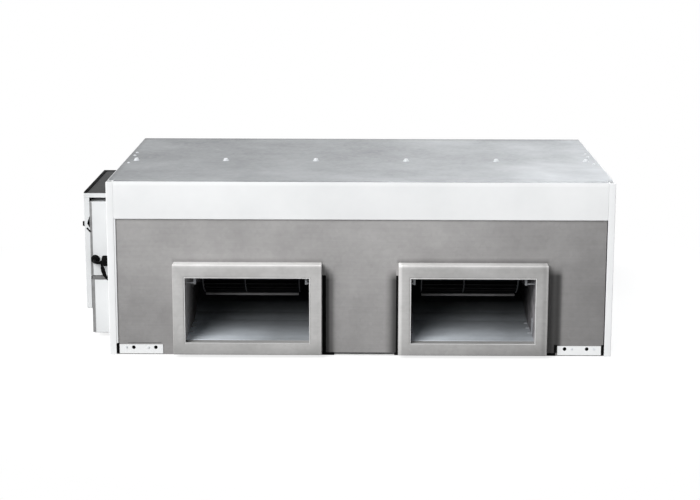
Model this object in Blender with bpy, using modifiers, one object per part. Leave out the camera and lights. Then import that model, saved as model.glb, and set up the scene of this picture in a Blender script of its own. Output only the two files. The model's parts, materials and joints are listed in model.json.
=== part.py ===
"""Ducted air conditioner for a ceiling void, built as it comes apart on a bench.

A sheet metal cabinet holds two forward-curved blower wheels on one motor shaft, a sloping
fin-and-tube coil over a drain pan, and an electrical box on the left side.
Air comes in through two filters at the back and leaves by two collars at the front.

Metres. +X is right as seen from the supply side, -Y is the supply side, +Z is up.
The origin is the middle of the cabinet's underside.
"""

import math

import bmesh
import bpy
from mathutils import Matrix, Vector

# Cabinet
CASE_WIDTH = 1.454
CASE_DEPTH = 0.880
CASE_HEIGHT = 0.510
SHEET = 0.0015
FIT = 0.0003
BEND = 0.002
POST_WIDTH = 0.020
RAIL_HEIGHT = 0.110
RAIL_TOP_RETURN = 0.035
RAIL_LOWER_RETURN = 0.018
PANEL_RECESS = 0.005
PANEL_SIDE_GAP = 0.002
FLOOR_LIP = 0.012
TOP_INSET = 0.005
RELIEF_WIDTH = 0.013
RELIEF_LENGTH = 0.018
RELIEF_FROM_FRONT = 0.010
BEAM_WIDTH = 0.040
BEAM_DROP = 0.028
BEAM_FROM_FRONT = 0.420

# Foot brackets
FOOT_LENGTH = 0.126
FOOT_HEIGHT = 0.027
FOOT_LIFT = 0.003
FOOT_SHEET = 0.002
FOOT_INSET = 0.029
FOOT_HOLE = 0.011
FOOT_HOLE_OUTER = 0.041
FOOT_HOLE_INNER = 0.105
FOOT_HOLE_RISE = 0.0185

# Supply outlets and their collars
OUTLET_FROM_SIDE = 0.222
MOTOR_BAY = 0.286
OUTLET_WIDTH = (CASE_WIDTH - MOTOR_BAY) / 2 - OUTLET_FROM_SIDE
OUTLET_SPACING = OUTLET_WIDTH + MOTOR_BAY
OUTLET_HEIGHT = 0.1955
OUTLET_BOTTOM = 0.043
COLLAR_RIM = 0.033
COLLAR_TOP_RIM = 0.0365
COLLAR_PROUD = 0.036

# Blowers
FAN_AXIS_BACK = 0.250
FAN_AXIS_HEIGHT = 0.285
WHEEL_RADIUS = 0.150
WHEEL_END_ROOM = 0.037
WHEEL_WIDTH = OUTLET_WIDTH - 2 * WHEEL_END_ROOM
WHEEL_RING = 0.003
WHEEL_DISC = 0.002
BLADE_COUNT = 32
BLADE_CHORD = 0.025
BLADE_BACK_SHARE = 0.22
BLADE_THICKNESS = 0.0013
BLADE_SWEEP = math.radians(5.5)
HUB_RADIUS = 0.028
HUB_SEGMENTS = 12
HUB_LENGTH = 0.044
SHAFT_RADIUS = 0.010
SHAFT_PAST_HUB = 0.008
SCROLL_SHEET = 0.0012
SCROLL_SEAM = 0.003
SCROLL_STEPS = 20
TONGUE_CLEARANCE = 0.021
INLET_RADIUS = 0.118
INLET_FLARE = 0.022
INLET_THROAT_SHARE = 0.3
WHEEL_SEGMENTS = 30
INLET_SEGMENTS = 20

# Motor
MOTOR_RADIUS = 0.080
MOTOR_LENGTH = 0.176
MOTOR_BOSS_RADIUS = 0.026
MOTOR_BOSS_LENGTH = 0.010
STRAP_SHEET = 0.002
STRAP_WIDTH = 0.018
STRAP_SPACING = 0.110
SADDLE_HEIGHT = 0.020
SADDLE_WIDTH = 0.074
PEDESTAL_LENGTH = 0.150
PEDESTAL_TOP_WIDTH = 0.110
PEDESTAL_FOOT_WIDTH = 0.180
PEDESTAL_FOOT = 0.035
MOTOR_TERMINAL_LENGTH = 0.064
MOTOR_TERMINAL_WIDTH = 0.050
MOTOR_TERMINAL_HEIGHT = 0.026
MOTOR_SEGMENTS = 20

# Coil and drain
COIL_LEFT_ROOM = 0.121
COIL_RIGHT_ROOM = 0.075
COIL_THICKNESS = 0.066
COIL_TILT = math.radians(20.0)
COIL_MIDDLE_BACK = 0.700
COIL_LOW_GAP = 0.054
COIL_HIGH_GAP = 0.020
FIN_COUNT = 18
FIN_DEPTH = 0.024
FIN_SHARE = 0.4
END_PLATE_SHEET = 0.002
END_PLATE_MARGIN = 0.012
BEND_COUNT = 5
BEND_PITCH = 0.074
BEND_REACH = 0.012
BEND_STAGGER = 0.011
BEND_SPAN = 0.0254
BEND_TUBE = 0.005
TRAY_LEFT_ROOM = 0.063
TRAY_RIGHT_ROOM = 0.019
TRAY_FRONT = 0.548
TRAY_BACK = 0.864
TRAY_HEIGHT = 0.048
TRAY_FLOOR = 0.010
TRAY_WALL = 0.008
SPIGOT_RADIUS = 0.013
SPIGOT_BORE = 0.0105
SPIGOT_HEIGHT = 0.0265
SPIGOT_BACK = 0.800
SPIGOT_REACH = 0.048

# Refrigerant pipes
GAS_PIPE_RADIUS = 0.0127
LIQUID_PIPE_RADIUS = 0.0064
HEADER_RADIUS = 0.0127
DISTRIBUTOR_RADIUS = 0.006
HEADER_OFF_PLATE = 0.030
PIPE_REACH = 0.048
GAS_PIPE_HEIGHT = 0.120
LIQUID_PIPE_HEIGHT = 0.215
GAS_PIPE_BACK = 0.690
LIQUID_PIPE_BACK = 0.630
PIPE_PLATE_SHEET = 0.003
PIPE_PLATE_MARGIN = 0.011
NUT_LENGTH = 0.022
STUB_COUNT = 4
STUB_RADIUS = 0.004
HEADER_BEND = 0.020
HEADER_BEND_RISE = 0.035
HEADER_PAST_STUBS = 0.0044
GAS_STUB_SPAN = 0.48
GAS_STUB_START = 0.13
FEED_OFF_COIL = 0.018
FEED_BEND = 0.010
FEED_TURN = 0.008
FEED_RISE = 0.045
FEED_STUB_SPAN = 0.132
FEED_BELOW_STUBS = 0.0076
FEED_PAST_STUBS = 0.0176
PIPE_HOLE_GAP = 0.006
VALVE_RADIUS = 0.013
VALVE_LENGTH = 0.030
VALVE_HEAD_RADIUS = 0.013
VALVE_HEAD_HEIGHT = 0.034

# Electrical box on the left side
BOX_REACH = 0.079
BOX_FRONT = 0.200
BOX_BACK = 0.610
BOX_BOTTOM = 0.190
BOX_TOP = 0.415
BOX_SHEET = 0.0015
COVER_REACH = 0.076
COVER_BOTTOM = 0.014
COVER_TOP = 0.184
LID_DEPTH = 0.016
LID_OVERLAP = 0.0015
LID_BOTTOM = 0.090
LID_TOP = 0.441
HOOD_FLANGE = 0.013
HOOD_GAP = 0.0013
FELT_THICKNESS = 0.0012
FELT_INSET = 0.0045
TRIM_WIDTH = 0.0035
TRIM_HEIGHT = 0.003
HINGE_RADIUS = 0.004
HINGE_PIN = 0.002
HINGE_KNUCKLE = 0.018
HINGE_LEAF = 0.0015
HINGE_LEAF_FIXED = 0.028
HINGE_LEAF_LID = 0.0125
HINGE_UPPER = 0.372
HINGE_LOWER = 0.225
LATCH_HEIGHT = 0.346
LATCH_FROM_EDGE = 0.018
LATCH_RADIUS = 0.008
LATCH_PROUD = 0.0065
LATCH_STEM = 0.003
LATCH_CAM = 0.013
LATCH_CAM_SHEET = 0.0015
CATCH_REACH = 0.010
CATCH_HEIGHT = 0.016

# Electrical parts, measured from the box's own corner
BOARD_MARGIN = 0.020
BOARD_LENGTH = 0.200
BOARD_HEIGHT = 0.180
BOARD_SHEET = 0.0016
BOARD_STANDOFF = 0.012
BLOCK_LENGTH = 0.110
BLOCK_HEIGHT = 0.030
BLOCK_DEPTH = 0.022
BLOCK_WAYS = 5
CAPACITOR_RADIUS = 0.0225
CAPACITOR_LENGTH = 0.095
TRANSFORMER_SIZE = 0.050
CAPACITOR_HEAD_GAP = 0.012
STANDOFF_RADIUS = 0.0035
STANDOFF_IN = 0.008

# Parts on the board: place along it, place up it, length, height and how far each stands out
BOARD_PARTS = [
    (0.020, 0.020, 0.030, 0.024, 0.018),
    (0.092, 0.020, 0.030, 0.024, 0.018),
    (0.020, 0.068, 0.046, 0.040, 0.026),
    (0.080, 0.066, 0.018, 0.050, 0.024),
    (0.150, 0.060, 0.034, 0.060, 0.010),
    (0.018, 0.140, 0.160, 0.016, 0.012),
]

# Cables between the box and the cabinet
LARGE_CABLE_RADIUS = 0.0042
SMALL_CABLE_RADIUS = 0.0036
LARGE_GLAND_RADIUS = 0.0135
SMALL_GLAND_RADIUS = 0.008
BOX_GLAND_LENGTH = 0.018
SIDE_GLAND_LENGTH = 0.036
SMALL_GLAND_LENGTH = 0.008
LARGE_GLAND_HEIGHT = 0.241
LARGE_GLAND_IN = 0.0135
SMALL_GLAND_HEIGHT = 0.230
SMALL_GLAND_IN = 0.034
SIDE_GLAND_FRONT = 0.054
SIDE_SMALL_HEIGHT = 0.186
SIDE_SMALL_FRONT = 0.046
GLAND_SEGMENTS = 12
CABLE_RUN_IN = 0.016
CABLE_RUN_OUT = 0.002
CABLE_HIGH_FRONT = 0.055
CABLE_HIGH = 0.440
CABLE_SPACING = 0.045
BULB_SHARE = 0.40

# Return side: frame, rails and filters
RETURN_SIDE_RIM = 0.039
RETURN_BOTTOM = 0.060
RETURN_TOP_RIM = 0.060
RAIL_OUT = 0.0160
RAIL_SHEET = 0.0012
RAIL_GRIP = 0.020
RAIL_LOW = 0.034
RAIL_BELOW_TOP = 0.034
RAIL_END_GAP = 0.025
FILTER_THICKNESS = 0.010
FILTER_HEAD_GAP = 0.001
FILTER_SPLIT = 0.003
FILTER_RIM = 0.012
FILTER_RIB = 0.005
FILTER_MESH = 0.0012
FILTER_COLUMNS = 3
FILTER_ROWS = 3
TAB_LENGTH = 0.014
TAB_HEIGHT = 0.060
TAB_THICKNESS = 0.004

# Places worked out from the sizes above
HALF_W = CASE_WIDTH / 2
HALF_D = CASE_DEPTH / 2
PANEL_FACE = -HALF_D + PANEL_RECESS
PANEL_BACK = PANEL_FACE + SHEET
INNER_SIDE = HALF_W - SHEET - FIT
BETWEEN_POSTS = HALF_W - POST_WIDTH - FIT
UNDER_TOP = CASE_HEIGHT - SHEET - FIT
OUTLET_TOP = OUTLET_BOTTOM + OUTLET_HEIGHT
FAN_Y = -HALF_D + FAN_AXIS_BACK
FAN_Z = FAN_AXIS_HEIGHT
FAN_XS = {"left": -OUTLET_SPACING / 2, "right": OUTLET_SPACING / 2}
BORE = SHAFT_RADIUS + FIT
FLOOR = SHEET + FIT
BOX_WALL = -HALF_W - FIT
BOX_FACE = BOX_WALL - BOX_REACH + FIT
BOX_Y0 = -HALF_D + BOX_FRONT
BOX_Y1 = -HALF_D + BOX_BACK
LID_INNER = BOX_FACE - FIT
LID_OUTER = LID_INNER - LID_DEPTH
LID_Y0 = BOX_Y0 - LID_OVERLAP
LID_Y1 = BOX_Y1 + LID_OVERLAP
HINGE_X = LID_INNER
HINGE_Y = LID_Y1 + FIT + HINGE_RADIUS
COIL_LEFT = -HALF_W + COIL_LEFT_ROOM
COIL_RIGHT = HALF_W - COIL_RIGHT_ROOM
TRAY_LEFT = -HALF_W + TRAY_LEFT_ROOM
TRAY_RIGHT = HALF_W - TRAY_RIGHT_ROOM
RETURN_HALF_WIDTH = HALF_W - RETURN_SIDE_RIM
COIL_Y = -HALF_D + COIL_MIDDLE_BACK
COIL_STANDS = CASE_HEIGHT - COIL_LOW_GAP - COIL_HIGH_GAP
COIL_HEIGHT = (COIL_STANDS - COIL_THICKNESS * math.sin(COIL_TILT)) / math.cos(COIL_TILT)
COIL_Z = COIL_LOW_GAP + COIL_STANDS / 2
RETURN_TOP = CASE_HEIGHT - RETURN_TOP_RIM
RAIL_HIGH = CASE_HEIGHT - RAIL_BELOW_TOP
TRAY_INSIDE = FLOOR + TRAY_FLOOR


def clear_scene():
    """Remove every object that the start-up file holds."""
    for old in list(bpy.data.objects):
        bpy.data.objects.remove(old, do_unlink=True)


def make_collection(name):
    """A collection linked to the scene."""
    group = bpy.data.collections.new(name)
    bpy.context.scene.collection.children.link(group)
    return group


clear_scene()
PARTS = make_collection("ducted_air_conditioner")
CUTTERS = make_collection("cutters")


def paint(name, colour, roughness, metallic):
    """A Principled material with one colour."""
    made = bpy.data.materials.new(name)
    made.use_nodes = True
    shader = made.node_tree.nodes["Principled BSDF"]
    shader.inputs["Base Color"].default_value = (*colour, 1.0)
    shader.inputs["Roughness"].default_value = roughness
    shader.inputs["Metallic"].default_value = metallic
    made.diffuse_color = (*colour, 1.0)
    return made


WHITE = paint("white_paint", (0.86, 0.87, 0.87), 0.5, 0.0)
ZINC = paint("galvanised_sheet", (0.45, 0.46, 0.47), 0.45, 0.8)
FRONT_ZINC = paint("front_sheet", (0.36, 0.35, 0.35), 0.55, 0.6)
COLLAR_ZINC = paint("collar_sheet", (0.62, 0.62, 0.61), 0.45, 0.6)
STEEL = paint("bright_steel", (0.6, 0.6, 0.6), 0.3, 1.0)
MOTOR_PAINT = paint("motor_paint", (0.06, 0.065, 0.07), 0.5, 0.2)
ALUMINIUM = paint("fin_aluminium", (0.75, 0.77, 0.78), 0.35, 0.9)
COPPER = paint("copper", (0.72, 0.36, 0.22), 0.3, 1.0)
BRASS = paint("brass", (0.75, 0.6, 0.3), 0.3, 1.0)
FOAM = paint("drain_pan_foam", (0.12, 0.12, 0.12), 0.9, 0.0)
BLACK = paint("black_plastic", (0.015, 0.015, 0.015), 0.5, 0.0)
RUBBER = paint("black_rubber", (0.02, 0.02, 0.02), 0.8, 0.0)
FELT = paint("grey_felt", (0.12, 0.12, 0.125), 0.95, 0.0)
BOARD = paint("circuit_board", (0.03, 0.18, 0.08), 0.5, 0.0)
PLASTIC = paint("filter_plastic", (0.25, 0.27, 0.29), 0.6, 0.0)


def add(name, mesh, finish, group=None):
    """An object that carries the mesh and its material."""
    made = bpy.data.objects.new(name, mesh)
    if finish is not None:
        mesh.materials.append(finish)
    (group or PARTS).objects.link(made)
    if group is CUTTERS:
        made.hide_render = True
        made.display_type = "WIRE"
    return made


def from_bmesh(name, shape, finish, group=None):
    """Turn a bmesh into an object and let the bmesh go."""
    mesh = bpy.data.meshes.new(name)
    shape.to_mesh(mesh)
    shape.free()
    return add(name, mesh, finish, group)


def cube_bmesh(low, high):
    """A bmesh box between two corners."""
    shape = bmesh.new()
    bmesh.ops.create_cube(shape, size=1.0)
    low, high = Vector(low), Vector(high)
    bmesh.ops.scale(shape, vec=high - low, verts=shape.verts)
    bmesh.ops.translate(shape, vec=(low + high) / 2, verts=shape.verts)
    return shape


def block(name, low, high, finish, group=None, bevel=0.0):
    """A box, with its edges broken when bevel is given."""
    made = from_bmesh(name, cube_bmesh(low, high), finish, group)
    if bevel:
        soften(made, bevel, 1)
    return made


def soften(target, width, segments):
    """A Bevel on the sharp edges."""
    edge = target.modifiers.new("soften", "BEVEL")
    edge.width = width
    edge.segments = segments
    edge.limit_method = "ANGLE"
    edge.angle_limit = math.radians(40)
    return edge


def thicken(target, thickness):
    """Sheet thickness, laid on the side that the faces look away from."""
    wall = target.modifiers.new("sheet", "SOLIDIFY")
    wall.thickness = thickness
    wall.offset = -1.0
    wall.use_even_offset = True
    return wall


def folded_pan(name, low, high, open_sides, thickness, finish, bend=BEND):
    """A sheet metal pan: a box without the faces that look along open_sides."""
    shape = cube_bmesh(low, high)
    shape.normal_update()
    gone = [f for f in shape.faces if any(f.normal.dot(Vector(s)) > 0.9 for s in open_sides)]
    bmesh.ops.delete(shape, geom=gone, context="FACES")
    made = from_bmesh(name, shape, finish)
    soften(made, bend, 1)
    thicken(made, thickness)
    return made


def folded_strip(name, points, x0, x1, thickness, finish, inside):
    """A strip of sheet bent along (y, z) points and running from x0 to x1.

    inside is a (y, z) place that the bare faces look away from.
    """
    shape = bmesh.new()
    line = [shape.verts.new((x0, y, z)) for y, z in points]
    edges = [shape.edges.new(pair) for pair in zip(line, line[1:])]
    grown = bmesh.ops.extrude_edge_only(shape, edges=edges)
    moved = [v for v in grown["geom"] if isinstance(v, bmesh.types.BMVert)]
    bmesh.ops.translate(shape, vec=(x1 - x0, 0, 0), verts=moved)
    shape.normal_update()
    shape.faces.ensure_lookup_table()
    away = 0.0
    for face in shape.faces:
        middle = face.calc_center_median()
        away += face.normal.dot(Vector((0, middle.y - inside[0], middle.z - inside[1]))) * face.calc_area()
    if away < 0:
        bmesh.ops.reverse_faces(shape, faces=shape.faces)
    made = from_bmesh(name, shape, finish)
    thicken(made, thickness)
    return made


def mesh_from_curve(curve_object, name, finish, group=None):
    """Make a curve object a welded mesh object in the same place."""
    bpy.context.view_layer.update()
    graph = bpy.context.evaluated_depsgraph_get()
    mesh = bpy.data.meshes.new_from_object(curve_object.evaluated_get(graph))
    place = curve_object.matrix_world.copy()
    shape = bmesh.new()
    shape.from_mesh(mesh)
    bmesh.ops.remove_doubles(shape, verts=shape.verts, dist=1e-6)
    bmesh.ops.recalc_face_normals(shape, faces=shape.faces)
    shape.to_mesh(mesh)
    shape.free()
    mesh.name = name
    mesh.materials.clear()
    bpy.data.objects.remove(curve_object, do_unlink=True)
    made = add(name, mesh, finish, group)
    made.matrix_world = place
    return made


def flat_plate(name, outlines, thickness, matrix, finish, group=None):
    """A plate from closed outlines in its own XY plane: the first is the edge, the rest are holes."""
    curve = bpy.data.curves.new(name, "CURVE")
    curve.dimensions = "2D"
    curve.fill_mode = "BOTH"
    curve.extrude = thickness / 2
    for outline in outlines:
        spline = curve.splines.new("POLY")
        spline.points.add(len(outline) - 1)
        for point, (x, y) in zip(spline.points, outline):
            point.co = (x, y, 0, 1)
        spline.use_cyclic_u = True
    flat = bpy.data.objects.new(name + "_outline", curve)
    PARTS.objects.link(flat)
    flat.matrix_world = matrix
    return mesh_from_curve(flat, name, finish, group)


def rectangle(x0, y0, x1, y1):
    """A closed outline of four corners."""
    return [(x0, y0), (x1, y0), (x1, y1), (x0, y1)]


def circle(x, y, radius, count):
    """A closed round outline."""
    turn = [2 * math.pi * (i + 0.5) / count for i in range(count)]
    return [(x + radius * math.cos(a), y + radius * math.sin(a)) for a in turn]


def facing_front(y):
    """A plane whose own X is X and whose own Y is Z, standing at y."""
    return Matrix.Translation((0, y, 0)) @ Matrix.Rotation(math.pi / 2, 4, "X")


def facing_side(x):
    """A plane whose own X is Y and whose own Y is Z, standing at x."""
    return Matrix(((0, 0, 1, x), (1, 0, 0, 0), (0, 1, 0, 0), (0, 0, 0, 1)))


def along_x(x, y, z):
    """Own Z along X, at a place."""
    return Matrix.Translation((x, y, z)) @ Matrix.Rotation(math.pi / 2, 4, "Y")


def along_y(x, y, z):
    """Own Z along Y, at a place."""
    return Matrix.Translation((x, y, z)) @ Matrix.Rotation(-math.pi / 2, 4, "X")


def turned(name, profile, matrix, steps, finish, closed=False, group=None):
    """A profile of (radius, height) points turned about its own Z, its outer side run top to bottom."""
    mesh = bpy.data.meshes.new(name)
    verts = [(r, 0, h) for r, h in profile]
    edges = [(i, i + 1) for i in range(len(verts) - 1)]
    if closed:
        edges.append((len(verts) - 1, 0))
    mesh.from_pydata(verts, edges, [])
    made = add(name, mesh, finish, group)
    made.matrix_world = matrix
    screw = made.modifiers.new("turn", "SCREW")
    screw.steps = steps
    screw.render_steps = steps
    screw.use_merge_vertices = True
    screw.merge_threshold = 0.00001
    screw.use_normal_calculate = False
    return made


def rod(name, radius, length, matrix, sides, finish, group=None):
    """A cylinder centred on the matrix, with its length along the matrix's Z."""
    shape = bmesh.new()
    bmesh.ops.create_cone(
        shape, cap_ends=True, segments=sides, radius1=radius, radius2=radius, depth=length
    )
    made = from_bmesh(name, shape, finish, group)
    made.matrix_world = matrix
    return made


def tube(name, points, radius, resolution, finish, group=None):
    """A round tube or cable along points, with closed ends."""
    curve = bpy.data.curves.new(name, "CURVE")
    curve.dimensions = "3D"
    curve.bevel_depth = radius
    curve.bevel_resolution = resolution
    curve.use_fill_caps = True
    spline = curve.splines.new("POLY")
    spline.points.add(len(points) - 1)
    for point, place in zip(spline.points, points):
        point.co = (*place, 1)
    made = bpy.data.objects.new(name + "_path", curve)
    PARTS.objects.link(made)
    return mesh_from_curve(made, name, finish, group)


def smooth_route(points, spacing):
    """Places about a spacing apart on a smooth curve through chosen points."""
    ends = [2 * Vector(points[0]) - Vector(points[1])]
    ends += [Vector(p) for p in points]
    ends.append(2 * ends[-1] - ends[-2])
    route = []
    for a, b, c, d in zip(ends, ends[1:], ends[2:], ends[3:]):
        count = max(1, round((c - b).length / spacing))
        for i in range(count):
            t = i / count
            route.append(
                0.5
                * (
                    2 * b
                    + (c - a) * t
                    + (2 * a - 5 * b + 4 * c - d) * t * t
                    + (3 * b - a - 3 * c + d) * t * t * t
                )
            )
    route.append(ends[-2])
    return route


def combine(target, tool, operation):
    """A Boolean with a tool that is kept out of the model."""
    step = target.modifiers.new(operation.lower(), "BOOLEAN")
    step.operation = operation
    step.solver = "EXACT"
    step.object = tool
    return step


def cut(target, tool):
    """Take the tool's shape out of the target."""
    return combine(target, tool, "DIFFERENCE")


def unite(target, tool):
    """Grow the target by the tool's shape."""
    return combine(target, tool, "UNION")


def cutter_block(name, low, high):
    """A box that only cuts or joins."""
    return block(name, low, high, None, CUTTERS)


def cutter_rod(name, radius, length, matrix, sides=12):
    """A cylinder that only cuts or joins."""
    return rod(name, radius, length, matrix, sides, None, CUTTERS)


def many_blocks(name, corners):
    """Boxes that don't touch each other, in one tool."""
    shape = bmesh.new()
    for low, high in corners:
        low, high = Vector(low), Vector(high)
        place = Matrix.LocRotScale((low + high) / 2, None, high - low)
        bmesh.ops.create_cube(shape, size=1.0, matrix=place)
    return from_bmesh(name, shape, None, CUTTERS)


# Cabinet shell
def side_panel(side, name):
    """A side with its front, rear and top edges folded in; the front fold is the white post."""
    outer = side * HALF_W
    inner = side * (HALF_W - POST_WIDTH)
    low = (min(outer, inner), -HALF_D, 0)
    high = (max(outer, inner), HALF_D, UNDER_TOP)
    made = folded_pan(name, low, high, [(-side, 0, 0), (0, 0, -1)], SHEET, WHITE)
    relief = sorted((outer - side * 2 * SHEET, outer - side * (2 * SHEET + RELIEF_WIDTH)))
    start = -HALF_D + RELIEF_FROM_FRONT
    notch = cutter_block(
        name + "_relief",
        (relief[0], start, UNDER_TOP - 4 * SHEET),
        (relief[1], start + RELIEF_LENGTH, UNDER_TOP + SHEET),
    )
    cut(made, notch)
    return made


LEFT_SIDE = side_panel(-1, "left_side_panel")
RIGHT_SIDE = side_panel(1, "right_side_panel")

folded_pan(
    "bottom_panel",
    (-INNER_SIDE, PANEL_BACK + FIT, 0),
    (INNER_SIDE, HALF_D - SHEET - FIT, FLOOR_LIP),
    [(0, 0, 1)],
    SHEET,
    ZINC,
)

block(
    "top_panel",
    (-HALF_W + TOP_INSET, -HALF_D + RAIL_TOP_RETURN + FIT, CASE_HEIGHT - SHEET),
    (HALF_W - TOP_INSET, HALF_D, CASE_HEIGHT),
    ZINC,
)

folded_strip(
    "front_top_rail",
    [
        (-HALF_D + RAIL_TOP_RETURN, CASE_HEIGHT),
        (-HALF_D + BEND, CASE_HEIGHT),
        (-HALF_D, CASE_HEIGHT - BEND),
        (-HALF_D, CASE_HEIGHT - RAIL_HEIGHT + BEND),
        (-HALF_D + BEND, CASE_HEIGHT - RAIL_HEIGHT),
        (-HALF_D + RAIL_LOWER_RETURN, CASE_HEIGHT - RAIL_HEIGHT),
    ],
    -BETWEEN_POSTS,
    BETWEEN_POSTS,
    SHEET,
    WHITE,
    (-HALF_D + RAIL_LOWER_RETURN, CASE_HEIGHT - RAIL_HEIGHT / 2),
)

beam_y = -HALF_D + BEAM_FROM_FRONT
folded_strip(
    "middle_cross_beam",
    [
        (beam_y - BEAM_WIDTH / 2, UNDER_TOP - BEAM_DROP),
        (beam_y - BEAM_WIDTH / 2, UNDER_TOP),
        (beam_y + BEAM_WIDTH / 2, UNDER_TOP),
        (beam_y + BEAM_WIDTH / 2, UNDER_TOP - BEAM_DROP),
    ],
    -BETWEEN_POSTS,
    BETWEEN_POSTS,
    SHEET,
    ZINC,
    (beam_y, UNDER_TOP - BEAM_DROP),
)

panel_half = HALF_W - POST_WIDTH - PANEL_SIDE_GAP
flat_plate(
    "front_panel",
    [rectangle(-panel_half, FIT, panel_half, CASE_HEIGHT - RAIL_HEIGHT - FIT)]
    + [
        rectangle(x - OUTLET_WIDTH / 2, OUTLET_BOTTOM, x + OUTLET_WIDTH / 2, OUTLET_TOP)
        for x in FAN_XS.values()
    ],
    SHEET,
    facing_front(PANEL_FACE + SHEET / 2),
    FRONT_ZINC,
)

flat_plate(
    "rear_return_frame",
    [
        rectangle(-BETWEEN_POSTS, FIT, BETWEEN_POSTS, UNDER_TOP),
        rectangle(-RETURN_HALF_WIDTH, RETURN_BOTTOM, RETURN_HALF_WIDTH, RETURN_TOP),
    ],
    SHEET,
    facing_front(HALF_D - SHEET / 2),
    ZINC,
)


def foot_bracket(side, name, face_y):
    """A plate with two bolt holes at a bottom corner, on the face at face_y."""
    outer = side * (HALF_W - FOOT_INSET)
    inner = outer - side * FOOT_LENGTH
    top = FOOT_LIFT + FOOT_HEIGHT
    holes = [
        circle(outer - side * out, FOOT_LIFT + FOOT_HOLE_RISE, FOOT_HOLE / 2, 10)
        for out in (FOOT_HOLE_OUTER, FOOT_HOLE_INNER)
    ]
    edge = rectangle(min(outer, inner), FOOT_LIFT, max(outer, inner), top)
    return flat_plate(name, [edge] + holes, FOOT_SHEET, facing_front(face_y), WHITE)


for side, word in ((-1, "left"), (1, "right")):
    foot_bracket(side, f"front_{word}_foot_bracket", PANEL_FACE - FIT - FOOT_SHEET / 2)
    foot_bracket(side, f"rear_{word}_foot_bracket", HALF_D + FIT + FOOT_SHEET / 2)


# Supply collars
def supply_collar(name, x):
    """A channel-section frame: outer skirt, flat face and inner throat, open at the back."""
    half = OUTLET_WIDTH / 2
    face = -HALF_D - COLLAR_PROUD
    back = PANEL_FACE - FIT
    shape = cube_bmesh(
        (x - half - COLLAR_RIM, face, OUTLET_BOTTOM - COLLAR_RIM),
        (x + half + COLLAR_RIM, back, OUTLET_TOP + COLLAR_TOP_RIM),
    )
    shape.normal_update()
    rear = [f for f in shape.faces if f.normal.y > 0.9]
    bmesh.ops.delete(shape, geom=rear, context="FACES")
    front = [f for f in shape.faces if f.normal.y < -0.9]
    bmesh.ops.inset_region(shape, faces=front, thickness=COLLAR_RIM / 2, use_even_offset=True)
    middle = Vector((x, face, (OUTLET_BOTTOM + OUTLET_TOP) / 2))
    for vert in front[0].verts:
        right = vert.co.x > middle.x
        upper = vert.co.z > middle.z
        vert.co.x = x + (half if right else -half)
        vert.co.z = OUTLET_TOP if upper else OUTLET_BOTTOM
    throat = bmesh.ops.extrude_face_region(shape, geom=front)
    moved = [v for v in throat["geom"] if isinstance(v, bmesh.types.BMVert)]
    bmesh.ops.translate(shape, vec=(0, back - face, 0), verts=moved)
    ends = [f for f in throat["geom"] if isinstance(f, bmesh.types.BMFace)]
    bmesh.ops.delete(shape, geom=front + ends, context="FACES")
    made = from_bmesh(name, shape, COLLAR_ZINC)
    soften(made, BEND, 1)
    thicken(made, SHEET)
    return made


for word, fan_x in FAN_XS.items():
    supply_collar(f"{word}_supply_collar", fan_x)


# Blower scrolls
def scroll_start(rise):
    """Angle, from straight ahead, at which a spiral of the start radius is rise above the outlet."""
    radius = WHEEL_RADIUS + TONGUE_CLEARANCE
    return -math.asin((FAN_Z - OUTLET_TOP - rise) / (radius + rise))


def scroll_points(offset):
    """The (y, z) line of the scroll's wall, offset outwards: lip, spiral, floor."""
    small = WHEEL_RADIUS + TONGUE_CLEARANCE
    large = FAN_Z - OUTLET_BOTTOM
    start = scroll_start(offset)
    front = PANEL_BACK + FIT
    points = [(front, OUTLET_TOP + offset)]
    for i in range(SCROLL_STEPS + 1):
        share = i / SCROLL_STEPS
        angle = start + (1.5 * math.pi - start) * share
        radius = small + (large - small) * share + offset
        points.append((FAN_Y - radius * math.cos(angle), FAN_Z + radius * math.sin(angle)))
    points.append((front, OUTLET_BOTTOM - offset))
    return points


def scroll_side(name, x, out):
    """A side plate with a spun inlet that leads air into the wheel; out is +1 or -1 along X."""
    plane = x + out * (OUTLET_WIDTH / 2 + SCROLL_SHEET / 2)
    hole = INLET_RADIUS + INLET_FLARE
    outlines = [
        scroll_points(SCROLL_SHEET + SCROLL_SEAM),
        circle(FAN_Y, FAN_Z, hole, INLET_SEGMENTS),
    ]
    made = flat_plate(name, outlines, 0.0, facing_side(plane), ZINC)
    axis = Vector((FAN_Y, FAN_Z, 0))
    shape = bmesh.new()
    shape.from_mesh(made.data)
    rim = [
        edge
        for edge in shape.edges
        if edge.is_boundary and all((v.co - axis).length < 1.01 * hole for v in edge.verts)
    ]
    throat = INLET_RADIUS + INLET_THROAT_SHARE * INLET_FLARE
    radius = hole
    for new_radius, depth in ((throat, 0.4 * INLET_FLARE), (INLET_RADIUS, 0.6 * INLET_FLARE)):
        grown = bmesh.ops.extrude_edge_only(shape, edges=rim)
        rim = [e for e in grown["geom"] if isinstance(e, bmesh.types.BMEdge)]
        for vert in {v for edge in rim for v in edge.verts}:
            vert.co.x = FAN_Y + (vert.co.x - FAN_Y) * new_radius / radius
            vert.co.y = FAN_Z + (vert.co.y - FAN_Z) * new_radius / radius
            vert.co.z -= out * depth
        radius = new_radius
    bmesh.ops.recalc_face_normals(shape, faces=shape.faces)
    shape.to_mesh(made.data)
    shape.free()
    thicken(made, SCROLL_SHEET).offset = 0.0
    return made


for word, fan_x in FAN_XS.items():
    folded_strip(
        f"{word}_scroll_wrap",
        scroll_points(0.0),
        fan_x + OUTLET_WIDTH / 2 - FIT,
        fan_x - OUTLET_WIDTH / 2 + FIT,
        SCROLL_SHEET,
        ZINC,
        (FAN_Y, FAN_Z),
    )
    sides = (("outer", 1), ("inner", -1)) if fan_x > 0 else (("outer", -1), ("inner", 1))
    for place, out in sides:
        scroll_side(f"{word}_scroll_{place}_side", fan_x, out)


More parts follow.
